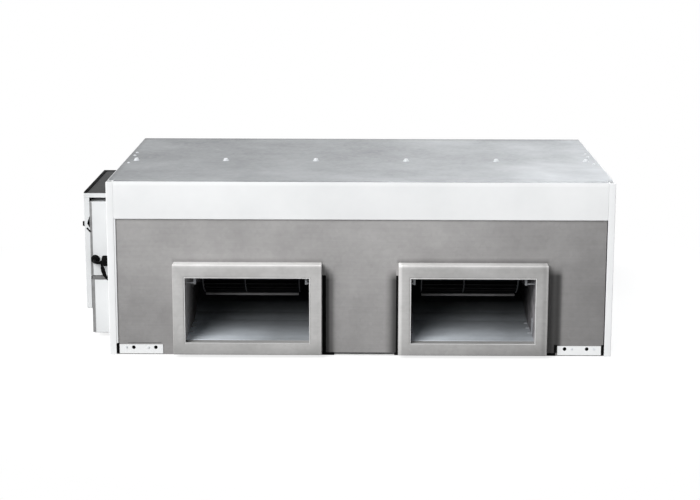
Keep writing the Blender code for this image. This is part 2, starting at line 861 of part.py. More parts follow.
# Blower wheels and shaft
def blade_section():
    """The six (y, z) corners of one forward-curved blade, with its root at the front of the wheel."""
    tip = WHEEL_RADIUS * math.cos(math.pi / WHEEL_SEGMENTS) - BLADE_THICKNESS / 2
    root = tip - BLADE_CHORD
    line = [(root, 0.0), ((root + tip) / 2, BLADE_BACK_SHARE * BLADE_SWEEP), (tip, BLADE_SWEEP)]
    half = BLADE_THICKNESS / 2
    front = [(r, a + half / r) for r, a in line]
    back = [(r, a - half / r) for r, a in reversed(line)]
    return [(-r * math.cos(a), r * math.sin(a)) for r, a in front + back]


def blower_wheel(name, x):
    """Blades through a middle disc, tied by a ring at each end."""
    shape = bmesh.new()
    half = WHEEL_WIDTH / 2
    buried = WHEEL_RING / 2
    corners = [shape.verts.new((-half + buried, y, z)) for y, z in blade_section()]
    base = shape.faces.new(corners)
    grown = bmesh.ops.extrude_face_region(shape, geom=[base])
    moved = [v for v in grown["geom"] if isinstance(v, bmesh.types.BMVert)]
    bmesh.ops.translate(shape, vec=(2 * (half - buried), 0, 0), verts=moved)
    bmesh.ops.recalc_face_normals(shape, faces=shape.faces)
    bmesh.ops.spin(
        shape,
        geom=shape.verts[:] + shape.edges[:] + shape.faces[:],
        cent=(0, 0, 0),
        axis=(1, 0, 0),
        angle=2 * math.pi * (BLADE_COUNT - 1) / BLADE_COUNT,
        steps=BLADE_COUNT - 1,
        use_duplicate=True,
    )
    made = from_bmesh(name, shape, STEEL)
    made.location = (x, FAN_Y, FAN_Z)
    centre = along_x(x, FAN_Y, FAN_Z)
    unite(made, cutter_rod(name + "_disc", WHEEL_RADIUS, WHEEL_DISC, centre, WHEEL_SEGMENTS))
    unite(made, cutter_rod(name + "_hub", HUB_RADIUS, HUB_LENGTH, centre, HUB_SEGMENTS))
    cut(made, cutter_rod(name + "_bore", BORE, 2 * HUB_LENGTH, centre, HUB_SEGMENTS))
    ring_root = WHEEL_RADIUS - BLADE_CHORD - 3 * BLADE_THICKNESS
    for word, end in (("left", -1), ("right", 1)):
        middle = x + end * (half - WHEEL_RING / 2)
        ring = [
            (WHEEL_RADIUS, WHEEL_RING / 2),
            (WHEEL_RADIUS, -WHEEL_RING / 2),
            (ring_root, -WHEEL_RING / 2),
            (ring_root, WHEEL_RING / 2),
        ]
        turned_ring = turned(
            f"{name}_{word}_ring",
            ring,
            along_x(middle, FAN_Y, FAN_Z),
            WHEEL_SEGMENTS,
            None,
            True,
            CUTTERS,
        )
        unite(made, turned_ring)
    return made


for word, fan_x in FAN_XS.items():
    blower_wheel(f"{word}_blower_wheel", fan_x)

shaft_length = OUTLET_SPACING + HUB_LENGTH + 2 * SHAFT_PAST_HUB
shaft = rod("fan_shaft", SHAFT_RADIUS, shaft_length, along_x(0, FAN_Y, FAN_Z), 12, STEEL)
soften(shaft, 0.1 * SHAFT_RADIUS, 1)


# Motor, straps and pedestal
half_motor = MOTOR_LENGTH / 2
motor_profile = [
    (BORE, half_motor + MOTOR_BOSS_LENGTH),
    (MOTOR_BOSS_RADIUS, half_motor + MOTOR_BOSS_LENGTH),
    (MOTOR_BOSS_RADIUS, half_motor),
    (0.8 * MOTOR_RADIUS, half_motor),
    (MOTOR_RADIUS, 0.82 * half_motor),
    (MOTOR_RADIUS, -0.82 * half_motor),
    (0.8 * MOTOR_RADIUS, -half_motor),
    (MOTOR_BOSS_RADIUS, -half_motor),
    (MOTOR_BOSS_RADIUS, -half_motor - MOTOR_BOSS_LENGTH),
    (BORE, -half_motor - MOTOR_BOSS_LENGTH),
]
motor_centre = along_x(0, FAN_Y, FAN_Z)
motor = turned("motor_body", motor_profile, motor_centre, MOTOR_SEGMENTS, MOTOR_PAINT, True)
terminal_top = FAN_Z + MOTOR_RADIUS + MOTOR_TERMINAL_HEIGHT
terminal = cutter_block(
    "motor_terminal_cap",
    (-MOTOR_TERMINAL_LENGTH / 2, FAN_Y - MOTOR_TERMINAL_WIDTH / 2, FAN_Z + 0.9 * MOTOR_RADIUS),
    (MOTOR_TERMINAL_LENGTH / 2, FAN_Y + MOTOR_TERMINAL_WIDTH / 2, terminal_top),
)
unite(motor, terminal)

strap_inner = MOTOR_RADIUS + FIT
saddle_foot = FAN_Z - MOTOR_RADIUS - SADDLE_HEIGHT
for word, strap_x in (("left", -STRAP_SPACING / 2), ("right", STRAP_SPACING / 2)):
    place = along_x(strap_x, FAN_Y, FAN_Z)
    strap_outer = strap_inner + STRAP_SHEET
    strap = rod(f"{word}_motor_strap", strap_outer, STRAP_WIDTH, place, MOTOR_SEGMENTS, STEEL)
    foot = cutter_block(
        f"{word}_strap_foot",
        (strap_x - STRAP_WIDTH / 2, FAN_Y - SADDLE_WIDTH / 2, saddle_foot),
        (strap_x + STRAP_WIDTH / 2, FAN_Y + SADDLE_WIDTH / 2, FAN_Z - 0.7 * MOTOR_RADIUS),
    )
    bore = cutter_rod(f"{word}_strap_bore", strap_inner, 2 * STRAP_WIDTH, place, MOTOR_SEGMENTS)
    unite(strap, foot)
    cut(strap, bore)

pedestal_top = saddle_foot - FIT
foot_z = FLOOR + SHEET
folded_strip(
    "motor_pedestal",
    [
        (FAN_Y - PEDESTAL_FOOT_WIDTH / 2 - PEDESTAL_FOOT, foot_z),
        (FAN_Y - PEDESTAL_FOOT_WIDTH / 2, foot_z),
        (FAN_Y - PEDESTAL_TOP_WIDTH / 2, pedestal_top),
        (FAN_Y + PEDESTAL_TOP_WIDTH / 2, pedestal_top),
        (FAN_Y + PEDESTAL_FOOT_WIDTH / 2, foot_z),
        (FAN_Y + PEDESTAL_FOOT_WIDTH / 2 + PEDESTAL_FOOT, foot_z),
    ],
    -PEDESTAL_LENGTH / 2,
    PEDESTAL_LENGTH / 2,
    SHEET,
    ZINC,
    (FAN_Y, -pedestal_top),
)


# Coil: fins, end plates, return bends
COIL_PLACE = Matrix.Translation((0, COIL_Y, COIL_Z)) @ Matrix.Rotation(-COIL_TILT, 4, "X")


def fin_outline():
    """A comb seen from above: fins on both faces of the tube block."""
    left = COIL_LEFT + END_PLATE_SHEET / 2 + FIT
    right = COIL_RIGHT - END_PLATE_SHEET / 2 - FIT
    pitch = (right - left) / (FIN_COUNT - 1 + FIN_SHARE)
    edge = COIL_THICKNESS / 2
    root = edge - FIN_DEPTH
    top = []
    for i in range(FIN_COUNT):
        start = left + i * pitch
        end = start + FIN_SHARE * pitch
        top += [(start, root), (start, edge), (end, edge), (end, root)]
    top = top[1:-1]
    bottom = [(x, -y) for x, y in reversed(top)]
    return top[::-1] + bottom[::-1]


flat_plate("coil_fin_pack", [fin_outline()], COIL_HEIGHT, COIL_PLACE, ALUMINIUM)


def end_plate(name, x):
    """A sheet that stands in the drain pan, leans with the coil and reaches the top panel."""
    foot = TRAY_INSIDE + FIT
    half = COIL_THICKNESS / 2 / math.cos(COIL_TILT) + END_PLATE_MARGIN
    low_y = COIL_Y - (COIL_Z - foot) * math.tan(COIL_TILT)
    high_y = COIL_Y + (UNDER_TOP - COIL_Z) * math.tan(COIL_TILT)
    edge = [
        (low_y - half, foot),
        (low_y + half, foot),
        (high_y + half, UNDER_TOP),
        (high_y - half, UNDER_TOP),
    ]
    return flat_plate(name, [edge], END_PLATE_SHEET, facing_side(x), ZINC)


end_plate("coil_left_end_plate", COIL_LEFT)
right_plate = end_plate("coil_right_end_plate", COIL_RIGHT)


def return_bend(name, number):
    """A hairpin bend that stands out of the right end plate; they are numbered upwards from 0."""
    reach = COIL_RIGHT + END_PLATE_SHEET / 2 + BEND_REACH
    radius = BEND_SPAN / 2
    local = [(COIL_RIGHT, -radius), (reach, -radius)]
    for i in range(1, 3):
        angle = -math.pi / 2 + math.pi * i / 3
        local.append((reach + radius * math.cos(angle), radius * math.sin(angle)))
    local += [(reach, radius), (COIL_RIGHT, radius)]
    shift = BEND_STAGGER if number % 2 else -BEND_STAGGER
    height = (number - (BEND_COUNT - 1) / 2) * BEND_PITCH
    points = [COIL_PLACE @ Vector((x, shift, height + z)) for x, z in local]
    return tube(name, points, BEND_TUBE, 1, None, CUTTERS)


for i in range(BEND_COUNT):
    unite(right_plate, return_bend(f"return_bend_{i + 1}", i))

# Drain pan and spigot
tray_y0 = -HALF_D + TRAY_FRONT
tray_y1 = -HALF_D + TRAY_BACK
tray = block(
    "drain_pan",
    (TRAY_LEFT, tray_y0, FLOOR),
    (TRAY_RIGHT, tray_y1, FLOOR + TRAY_HEIGHT),
    FOAM,
)
hollow = cutter_block(
    "drain_pan_hollow",
    (TRAY_LEFT + TRAY_WALL, tray_y0 + TRAY_WALL, TRAY_INSIDE),
    (TRAY_RIGHT - TRAY_WALL, tray_y1 - TRAY_WALL, FLOOR + 2 * TRAY_HEIGHT),
)
cut(tray, hollow)
spigot_y = -HALF_D + SPIGOT_BACK
drain_hole = cutter_rod(
    "drain_pan_outlet",
    SPIGOT_BORE,
    3 * TRAY_WALL,
    along_x(TRAY_LEFT + TRAY_WALL / 2, spigot_y, SPIGOT_HEIGHT),
)
cut(tray, drain_hole)
spigot_outer = -HALF_W - SPIGOT_REACH
spigot_inner = TRAY_LEFT - FIT
spigot_profile = [
    (1.35 * SPIGOT_RADIUS, spigot_inner - spigot_outer),
    (1.35 * SPIGOT_RADIUS, spigot_inner - spigot_outer - 2 * SHEET),
    (SPIGOT_RADIUS, spigot_inner - spigot_outer - 2 * SHEET),
    (SPIGOT_RADIUS, 2 * SHEET),
    (1.08 * SPIGOT_RADIUS, 1.5 * SHEET),
    (0.98 * SPIGOT_RADIUS, 0),
    (SPIGOT_BORE, 0),
    (SPIGOT_BORE, spigot_inner - spigot_outer),
]
turned(
    "drain_spigot",
    spigot_profile,
    along_x(spigot_outer, spigot_y, SPIGOT_HEIGHT),
    12,
    BLACK,
    True,
)
spigot_hole = cutter_rod(
    "side_hole_drain",
    SPIGOT_RADIUS + FIT,
    4 * POST_WIDTH,
    along_x(-HALF_W, spigot_y, SPIGOT_HEIGHT),
)
cut(LEFT_SIDE, spigot_hole)


# Refrigerant pipes
def coil_line(x, z, forward):
    """The place beside the coil at height z, moved forward of its middle plane."""
    return Vector((x, COIL_Y + (z - COIL_Z) * math.tan(COIL_TILT) - forward, z))


def round_corner(before, corner, after, radius, steps):
    """Places round a bend of the given radius between two straight runs."""
    a = (before - corner).normalized()
    b = (after - corner).normalized()
    half = a.angle(b) / 2
    reach = radius / math.tan(half)
    middle = corner + (a + b).normalized() * (radius / math.sin(half))
    start = (corner + a * reach - middle).normalized()
    end = (corner + b * reach - middle).normalized()
    return [middle + radius * start.slerp(end, i / steps) for i in range(steps + 1)]


def pipe_nut(name, x, y, z, radius):
    """A hexagon flare nut on a pipe's outer end."""
    return cutter_rod(name, radius, NUT_LENGTH, along_x(x + NUT_LENGTH / 2, y, z), 6)


header_x = COIL_LEFT - END_PLATE_SHEET / 2 - HEADER_OFF_PLATE
pipe_end = -HALF_W - PIPE_REACH
pipe_y = -HALF_D + GAS_PIPE_BACK
stub_low = COIL_Z - GAS_STUB_START * COIL_HEIGHT
stub_high = stub_low + GAS_STUB_SPAN * COIL_HEIGHT
header_top = coil_line(header_x, stub_high + HEADER_PAST_STUBS, 0.0)
header_low = coil_line(header_x, GAS_PIPE_HEIGHT + HEADER_BEND_RISE, 0.0)
gas_corner = Vector((header_x, pipe_y, GAS_PIPE_HEIGHT))
gas_out = Vector((pipe_end, pipe_y, GAS_PIPE_HEIGHT))
gas_route = [header_top]
gas_route += round_corner(header_top, header_low, gas_corner, HEADER_BEND, 2)
gas_route += round_corner(header_low, gas_corner, gas_out, HEADER_BEND, 4)
gas_route.append(gas_out)
gas_pipe = tube("gas_pipe_and_header", gas_route, GAS_PIPE_RADIUS, 2, COPPER)
unite(gas_pipe, pipe_nut("gas_nut", pipe_end - FIT, pipe_y, GAS_PIPE_HEIGHT, 1.7 * GAS_PIPE_RADIUS))
stub_end = COIL_LEFT - END_PLATE_SHEET / 2 - FIT
for i in range(STUB_COUNT):
    z = stub_low + i / (STUB_COUNT - 1) * (stub_high - stub_low)
    middle = coil_line((header_x + stub_end) / 2, z, 0.0)
    length = stub_end - header_x
    unite(gas_pipe, cutter_rod(f"gas_stub_{i + 1}", STUB_RADIUS, length, along_x(*middle), 6))

forward = COIL_THICKNESS / 2 + END_PLATE_MARGIN / 2
valve_y = -HALF_D + LIQUID_PIPE_BACK
valve_x = header_x - VALVE_LENGTH
liquid_pipe = tube(
    "liquid_pipe",
    [(pipe_end, valve_y, LIQUID_PIPE_HEIGHT), (valve_x - FIT, valve_y, LIQUID_PIPE_HEIGHT)],
    LIQUID_PIPE_RADIUS,
    2,
    COPPER,
)
unite(
    liquid_pipe,
    pipe_nut("liquid_nut", pipe_end - FIT, valve_y, LIQUID_PIPE_HEIGHT, 2.0 * LIQUID_PIPE_RADIUS),
)
valve = rod(
    "expansion_valve",
    VALVE_RADIUS,
    VALVE_LENGTH,
    along_x(valve_x + VALVE_LENGTH / 2, valve_y, LIQUID_PIPE_HEIGHT),
    12,
    BRASS,
)
valve_head_z = LIQUID_PIPE_HEIGHT + 0.6 * VALVE_RADIUS
valve_head = cutter_rod(
    "expansion_valve_head",
    VALVE_HEAD_RADIUS,
    VALVE_HEAD_HEIGHT,
    Matrix.Translation((valve_x + VALVE_LENGTH / 2, valve_y, valve_head_z + VALVE_HEAD_HEIGHT / 2)),
)
unite(valve, valve_head)

feed_x = valve_x + VALVE_LENGTH + FIT
feed_up_x = COIL_LEFT - FEED_OFF_COIL
feed_turn = Vector((feed_up_x, valve_y, LIQUID_PIPE_HEIGHT))
feed_low = coil_line(feed_up_x, LIQUID_PIPE_HEIGHT + FEED_RISE, forward)
feed_stub_low = LIQUID_PIPE_HEIGHT + FEED_RISE + FEED_BELOW_STUBS
feed_stub_high = feed_stub_low + FEED_STUB_SPAN
feed_top = coil_line(feed_up_x, feed_stub_high + FEED_PAST_STUBS, forward)
feed_start = Vector((feed_x, valve_y, LIQUID_PIPE_HEIGHT))
feed_route = [feed_start]
feed_route += round_corner(feed_start, feed_turn, feed_low, FEED_TURN, 3)
feed_route += round_corner(feed_turn, feed_low, feed_top, FEED_BEND, 2)
feed_route.append(feed_top)
distributor = tube("liquid_distributor", feed_route, DISTRIBUTOR_RADIUS, 1, COPPER)
for i in range(STUB_COUNT - 1):
    z = feed_stub_low + i / (STUB_COUNT - 2) * FEED_STUB_SPAN
    middle = coil_line((feed_up_x + stub_end) / 2, z, forward)
    length = stub_end - feed_up_x
    unite(distributor, cutter_rod(f"liquid_stub_{i + 1}", STUB_RADIUS, length, along_x(*middle), 6))

plate_x = -HALF_W - FIT - PIPE_PLATE_SHEET / 2
plate_edge = rectangle(
    valve_y - LIQUID_PIPE_RADIUS - PIPE_PLATE_MARGIN,
    GAS_PIPE_HEIGHT - GAS_PIPE_RADIUS - PIPE_PLATE_MARGIN,
    pipe_y + GAS_PIPE_RADIUS + PIPE_PLATE_MARGIN,
    LIQUID_PIPE_HEIGHT + LIQUID_PIPE_RADIUS + PIPE_PLATE_MARGIN,
)
flat_plate(
    "pipe_grommet_plate",
    [
        plate_edge,
        circle(pipe_y, GAS_PIPE_HEIGHT, GAS_PIPE_RADIUS + FIT, 16),
        circle(valve_y, LIQUID_PIPE_HEIGHT, LIQUID_PIPE_RADIUS + FIT, 12),
    ],
    PIPE_PLATE_SHEET,
    facing_side(plate_x),
    RUBBER,
)
for word, y, z, radius in (
    ("gas", pipe_y, GAS_PIPE_HEIGHT, GAS_PIPE_RADIUS),
    ("liquid", valve_y, LIQUID_PIPE_HEIGHT, LIQUID_PIPE_RADIUS),
):
    place = along_x(-HALF_W, y, z)
    cut(LEFT_SIDE, cutter_rod(f"side_hole_{word}", radius + PIPE_HOLE_GAP, 4 * SHEET, place))


# Electrical box, wiring cover and lid
control_box = folded_pan(
    "control_box",
    (BOX_FACE, BOX_Y0, BOX_BOTTOM),
    (BOX_WALL, BOX_Y1, BOX_TOP),
    [(-1, 0, 0)],
    BOX_SHEET,
    WHITE,
)
folded_pan(
    "wiring_cover",
    (BOX_WALL - COVER_REACH + FIT, BOX_Y0, COVER_BOTTOM),
    (BOX_WALL, BOX_Y1, COVER_TOP),
    [(1, 0, 0)],
    BOX_SHEET,
    WHITE,
)

lid = folded_pan(
    "control_box_lid",
    (LID_OUTER, LID_Y0, LID_BOTTOM),
    (LID_INNER, LID_Y1, LID_TOP - FIT),
    [(1, 0, 0)],
    BOX_SHEET,
    WHITE,
)
hood_inner = -HALF_W - HOOD_GAP
hood = cutter_block(
    "lid_hood",
    (LID_OUTER + FIT, LID_Y0 - FIT, LID_TOP - BOX_SHEET),
    (hood_inner, LID_Y1, LID_TOP),
)
hood_flange = cutter_block(
    "lid_hood_flange",
    (LID_OUTER + FIT, LID_Y0 - FIT, LID_TOP - HOOD_FLANGE),
    (hood_inner, LID_Y0 - FIT + BOX_SHEET, LID_TOP - BOX_SHEET / 2),
)
unite(lid, hood)
unite(lid, hood_flange)

felt_low = LID_TOP + FIT
block(
    "lid_felt",
    (LID_OUTER + FELT_INSET, LID_Y0 + FIT, felt_low),
    (hood_inner, LID_Y1 - FELT_INSET, felt_low + FELT_THICKNESS),
    FELT,
)
trim_edge = [
    (LID_OUTER + FIT, LID_Y0),
    (LID_OUTER + FIT + TRIM_WIDTH, LID_Y0),
    (LID_OUTER + FIT + TRIM_WIDTH, LID_Y1 - TRIM_WIDTH - FIT),
    (hood_inner, LID_Y1 - TRIM_WIDTH - FIT),
    (hood_inner, LID_Y1 - FIT),
    (LID_OUTER + FIT, LID_Y1 - FIT),
]
flat_plate(
    "lid_edge_trim",
    [trim_edge],
    TRIM_HEIGHT,
    Matrix.Translation((0, 0, felt_low + TRIM_HEIGHT / 2)),
    RUBBER,
)


# Lift-off hinges at the back of the box
def box_hinge(name, z):
    """The fixed half: a leaf on the box's back wall, its knuckle and the standing pin."""
    middle = z - (HINGE_KNUCKLE + FIT) / 2
    leaf_y = BOX_Y1 + FIT
    made = block(
        name,
        (HINGE_X, leaf_y, middle - HINGE_KNUCKLE / 2),
        (HINGE_X + HINGE_LEAF_FIXED, LID_Y1 + FIT + HINGE_LEAF, middle + HINGE_KNUCKLE / 2),
        STEEL,
    )
    place = Matrix.Translation((HINGE_X, HINGE_Y, middle))
    unite(made, cutter_rod(name + "_knuckle", HINGE_RADIUS, HINGE_KNUCKLE, place))
    reach = 0.9 * HINGE_KNUCKLE
    pin_z = middle + HINGE_KNUCKLE / 2 + reach / 2 - FIT
    pin_place = Matrix.Translation((HINGE_X, HINGE_Y, pin_z))
    unite(made, cutter_rod(name + "_pin", HINGE_PIN, reach, pin_place, 8))
    return made


def lid_hinge(name, z):
    """The lid's half: a leaf on its back fold and a bored knuckle that drops on the pin."""
    middle = z + (HINGE_KNUCKLE + FIT) / 2
    leaf = cutter_block(
        name + "_leaf",
        (HINGE_X - HINGE_LEAF_LID, LID_Y1 - BOX_SHEET / 2, middle - HINGE_KNUCKLE / 2),
        (HINGE_X - HINGE_RADIUS / 2, HINGE_Y, middle + HINGE_KNUCKLE / 2),
    )
    place = Matrix.Translation((HINGE_X, HINGE_Y, middle))
    unite(lid, leaf)
    unite(lid, cutter_rod(name + "_knuckle", HINGE_RADIUS, 0.98 * HINGE_KNUCKLE, place))
    cut(lid, cutter_rod(name + "_bore", HINGE_PIN + FIT, 2 * HINGE_KNUCKLE, place, 8))


for word, z in (("upper", HINGE_UPPER), ("lower", HINGE_LOWER)):
    box_hinge(f"{word}_box_hinge", z)
    lid_hinge(f"{word}_lid_hinge", z)

# Latch through the lid's face, its cam turned away from the catch that it locks behind
latch_y = LID_Y0 + LATCH_FROM_EDGE
cam_x = BOX_FACE + BOX_SHEET + 2 * FIT
stem_length = cam_x + LATCH_CAM_SHEET - FIT - (LID_OUTER - FIT)
latch_profile = [
    (0, LATCH_PROUD),
    (0.75 * LATCH_RADIUS, LATCH_PROUD),
    (LATCH_RADIUS, 0.75 * LATCH_PROUD),
    (LATCH_RADIUS, 0),
    (LATCH_STEM, 0),
    (LATCH_STEM, -stem_length),
    (0, -stem_length),
]
latch_place = along_x(LID_OUTER - FIT, latch_y, LATCH_HEIGHT) @ Matrix.Rotation(math.pi, 4, "X")
latch = turned("lid_latch", latch_profile, latch_place, 12, BLACK)
grip = cutter_block(
    "latch_grip",
    (
        LID_OUTER - FIT - LATCH_PROUD - 0.001,
        latch_y - 0.18 * LATCH_RADIUS,
        LATCH_HEIGHT - 0.85 * LATCH_RADIUS,
    ),
    (
        LID_OUTER - FIT - 0.5 * LATCH_PROUD,
        latch_y + 0.18 * LATCH_RADIUS,
        LATCH_HEIGHT + 0.85 * LATCH_RADIUS,
    ),
)
unite(latch, grip)
cam = cutter_block(
    "latch_cam",
    (cam_x, latch_y - 0.9 * LATCH_STEM, LATCH_HEIGHT - LATCH_CAM),
    (cam_x + LATCH_CAM_SHEET, latch_y + 0.9 * LATCH_STEM, LATCH_HEIGHT + 1.2 * LATCH_STEM),
)
unite(latch, cam)
catch = cutter_block(
    "box_catch",
    (BOX_FACE, BOX_Y0 + BOX_SHEET / 2, LATCH_HEIGHT - CATCH_HEIGHT / 2),
    (BOX_FACE + BOX_SHEET, BOX_Y0 + CATCH_REACH, LATCH_HEIGHT + CATCH_HEIGHT / 2),
)
unite(control_box, catch)
latch_hole = cutter_rod(
    "lid_latch_hole",
    LATCH_STEM + FIT,
    0.5 * LID_DEPTH,
    along_x(LID_OUTER, latch_y, LATCH_HEIGHT),
)
cut(lid, latch_hole)

# Electrical parts on the back wall of the box
back_wall = BOX_WALL - BOX_SHEET - FIT
board_y1 = BOX_Y1 - BOARD_MARGIN
board_y0 = board_y1 - BOARD_LENGTH
board_z0 = BOX_BOTTOM + BOARD_MARGIN
board_z1 = board_z0 + BOARD_HEIGHT
board_front = back_wall - BOARD_STANDOFF - BOARD_SHEET
board = block(
    "circuit_board",
    (board_front, board_y0, board_z0),
    (board_front + BOARD_SHEET, board_y1, board_z1),
    BOARD,
)
for i, (y, z) in enumerate(
    (y, z)
    for y in (board_y0 + STANDOFF_IN, board_y1 - STANDOFF_IN)
    for z in (board_z0 + STANDOFF_IN, board_z1 - STANDOFF_IN)
):
    length = BOARD_STANDOFF + 0.6 * BOARD_SHEET
    middle = back_wall - length / 2
    place = along_x(middle, y, z)
    unite(board, cutter_rod(f"board_standoff_{i + 1}", STANDOFF_RADIUS, length, place, 6))
corners = [
    (
        (board_front - proud, board_y0 + y, board_z0 + z),
        (board_front + 0.5 * BOARD_SHEET, board_y0 + y + wide, board_z0 + z + tall),
    )
    for y, z, wide, tall, proud in BOARD_PARTS
]
unite(board, many_blocks("board_components", corners))

block_y0 = BOX_Y0 + BOARD_MARGIN
terminal_block = block(
    "terminal_block",
    (back_wall - BLOCK_DEPTH, block_y0, board_z0),
    (back_wall, block_y0 + BLOCK_LENGTH, board_z0 + BLOCK_HEIGHT),
    BLACK,
)
way = BLOCK_LENGTH / BLOCK_WAYS
slots = [
    (
        (back_wall - 2 * BLOCK_DEPTH, block_y0 + (i + 0.15) * way, board_z0 + share * BLOCK_HEIGHT),
        (
            back_wall - 0.55 * BLOCK_DEPTH,
            block_y0 + (i + 0.85) * way,
            board_z0 + (share + 0.36) * BLOCK_HEIGHT,
        ),
    )
    for i in range(BLOCK_WAYS)
    for share in (0.08, 0.56)
]
cut(terminal_block, many_blocks("terminal_block_ways", slots))

capacitor_z = BOX_TOP - BOX_SHEET - CAPACITOR_RADIUS - CAPACITOR_HEAD_GAP
capacitor_profile = [
    (0, CAPACITOR_LENGTH / 2),
    (0.3 * CAPACITOR_RADIUS, CAPACITOR_LENGTH / 2),
    (0.9 * CAPACITOR_RADIUS, 0.44 * CAPACITOR_LENGTH),
    (CAPACITOR_RADIUS, 0.42 * CAPACITOR_LENGTH),
    (CAPACITOR_RADIUS, -0.48 * CAPACITOR_LENGTH),
    (0.94 * CAPACITOR_RADIUS, -0.5 * CAPACITOR_LENGTH),
    (0, -0.5 * CAPACITOR_LENGTH),
]
turned(
    "run_capacitor",
    capacitor_profile,
    along_y(back_wall - CAPACITOR_RADIUS, block_y0 + BLOCK_LENGTH / 2, capacitor_z),
    16,
    STEEL,
)
core_z = (board_z0 + BLOCK_HEIGHT + capacitor_z - CAPACITOR_RADIUS) / 2
core_y = block_y0 + BLOCK_LENGTH / 2
transformer = block(
    "transformer",
    (back_wall - 0.8 * TRANSFORMER_SIZE, core_y - TRANSFORMER_SIZE / 2, core_z - 0.4 * TRANSFORMER_SIZE),
    (back_wall, core_y + TRANSFORMER_SIZE / 2, core_z + 0.4 * TRANSFORMER_SIZE),
    STEEL,
)
coil_block = cutter_block(
    "transformer_winding",
    (
        back_wall - 0.68 * TRANSFORMER_SIZE,
        core_y - 0.30 * TRANSFORMER_SIZE,
        core_z - 0.56 * TRANSFORMER_SIZE,
    ),
    (
        back_wall - 0.14 * TRANSFORMER_SIZE,
        core_y + 0.30 * TRANSFORMER_SIZE,
        core_z + 0.56 * TRANSFORMER_SIZE,
    ),
)
unite(transformer, coil_block)


# Glands and cables
def gland(name, place, radius, length, cable, wall):
    """A cable gland on the outside of a wall, its neck through the wall and a bore for the cable."""
    bore = cable + FIT
    profile = [
        (bore, length),
        (0.75 * radius, length),
        (0.75 * radius, 0.5 * length),
        (radius, 0.46 * length),
        (radius, FIT),
        (0.7 * radius, FIT),
        (0.7 * radius, -wall),
        (bore, -wall),
    ]
    return turned(name, profile, place, GLAND_SEGMENTS, BLACK, True)


def gland_hole(target, name, place, radius, wall):
    """The round hole that a gland's neck fits."""
    cut(target, cutter_rod(name, 0.7 * radius + FIT, 4 * wall, place, GLAND_SEGMENTS))


large_x = BOX_FACE + LARGE_GLAND_IN
small_x = BOX_FACE + SMALL_GLAND_IN
front_out = Matrix.Rotation(math.pi, 4, "X")
large_box = along_y(large_x, BOX_Y0, LARGE_GLAND_HEIGHT) @ front_out
small_box = along_y(small_x, BOX_Y0, SMALL_GLAND_HEIGHT) @ front_out
side_y = BOX_Y0 - SIDE_GLAND_FRONT
side_small_y = BOX_Y0 - SIDE_SMALL_FRONT
large_side = along_x(-HALF_W, side_y, LARGE_GLAND_HEIGHT) @ front_out
small_side = along_x(-HALF_W, side_small_y, SIDE_SMALL_HEIGHT) @ front_out
gland_hole(control_box, "box_hole_large", large_box, LARGE_GLAND_RADIUS, BOX_SHEET)
gland_hole(control_box, "box_hole_small", small_box, SMALL_GLAND_RADIUS, BOX_SHEET)
gland_hole(LEFT_SIDE, "side_hole_large", large_side, LARGE_GLAND_RADIUS, SHEET)
gland_hole(LEFT_SIDE, "side_hole_small", small_side, SMALL_GLAND_RADIUS, SHEET)
gland("box_gland_large", large_box, LARGE_GLAND_RADIUS, BOX_GLAND_LENGTH, LARGE_CABLE_RADIUS, SHEET)
gland("box_gland_small", small_box, SMALL_GLAND_RADIUS, SMALL_GLAND_LENGTH, SMALL_CABLE_RADIUS, SHEET)
gland("side_gland_large", large_side, LARGE_GLAND_RADIUS, SIDE_GLAND_LENGTH, LARGE_CABLE_RADIUS, SHEET)
gland("side_gland_small", small_side, SMALL_GLAND_RADIUS, SMALL_GLAND_LENGTH, SMALL_CABLE_RADIUS, SHEET)


def straight_in(place, length):
    """Four places on a gland's axis, so that the cable runs straight through it."""
    heights = (-CABLE_RUN_IN, -CABLE_RUN_IN / 2, length / 2, length + CABLE_RUN_OUT)
    return [place @ Vector((0, 0, h)) for h in heights]


terminal_x = -MOTOR_TERMINAL_LENGTH / 2 - FIT
terminal_z = terminal_top - MOTOR_TERMINAL_HEIGHT / 2
block_top = board_z0 + BLOCK_HEIGHT
lead_x = back_wall - BLOCK_DEPTH / 2
lead_y = block_y0 + 0.88 * BLOCK_LENGTH
high_y = -HALF_D + CABLE_HIGH_FRONT
high_z = CABLE_HIGH
motor_route = [
    (lead_x, lead_y, block_top + FIT),
    (lead_x, lead_y, block_top + 0.006),
    (lead_x - 0.010, lead_y - 0.012, block_top + 0.016),
    (large_x + 0.012, lead_y - 0.045, block_top + 0.012),
    (large_x + 0.002, BOX_Y0 + 0.030, LARGE_GLAND_HEIGHT + 0.002),
]
motor_route += straight_in(large_box, BOX_GLAND_LENGTH)
motor_route += [
    (large_x, BOX_Y0 - BOX_GLAND_LENGTH - 0.009, LARGE_GLAND_HEIGHT),
    (large_x + 0.0055, side_y + 0.007, LARGE_GLAND_HEIGHT),
    (-HALF_W - SIDE_GLAND_LENGTH - 0.011, side_y, LARGE_GLAND_HEIGHT),
]
motor_route += straight_in(large_side, SIDE_GLAND_LENGTH)[::-1]
motor_route += [
    (-HALF_W + 0.034, side_y, LARGE_GLAND_HEIGHT + 0.006),
    (-HALF_W + 0.075, side_y - 0.030, LARGE_GLAND_HEIGHT + 0.060),
    (-HALF_W + 0.115, high_y + 0.030, high_z - 0.060),
    (-HALF_W + 0.170, high_y, high_z),
    ((-HALF_W + terminal_x) / 2 - 0.040, high_y, high_z + 0.004),
    (terminal_x - 0.198, high_y, high_z),
    (terminal_x - 0.103, high_y + 0.020, high_z - 0.010),
    (terminal_x - 0.063, FAN_Y - 0.050, terminal_z + 0.030),
    (terminal_x - 0.040, FAN_Y - 0.004, terminal_z + 0.004),
    (terminal_x - 0.020, FAN_Y, terminal_z),
    (terminal_x, FAN_Y, terminal_z),
]
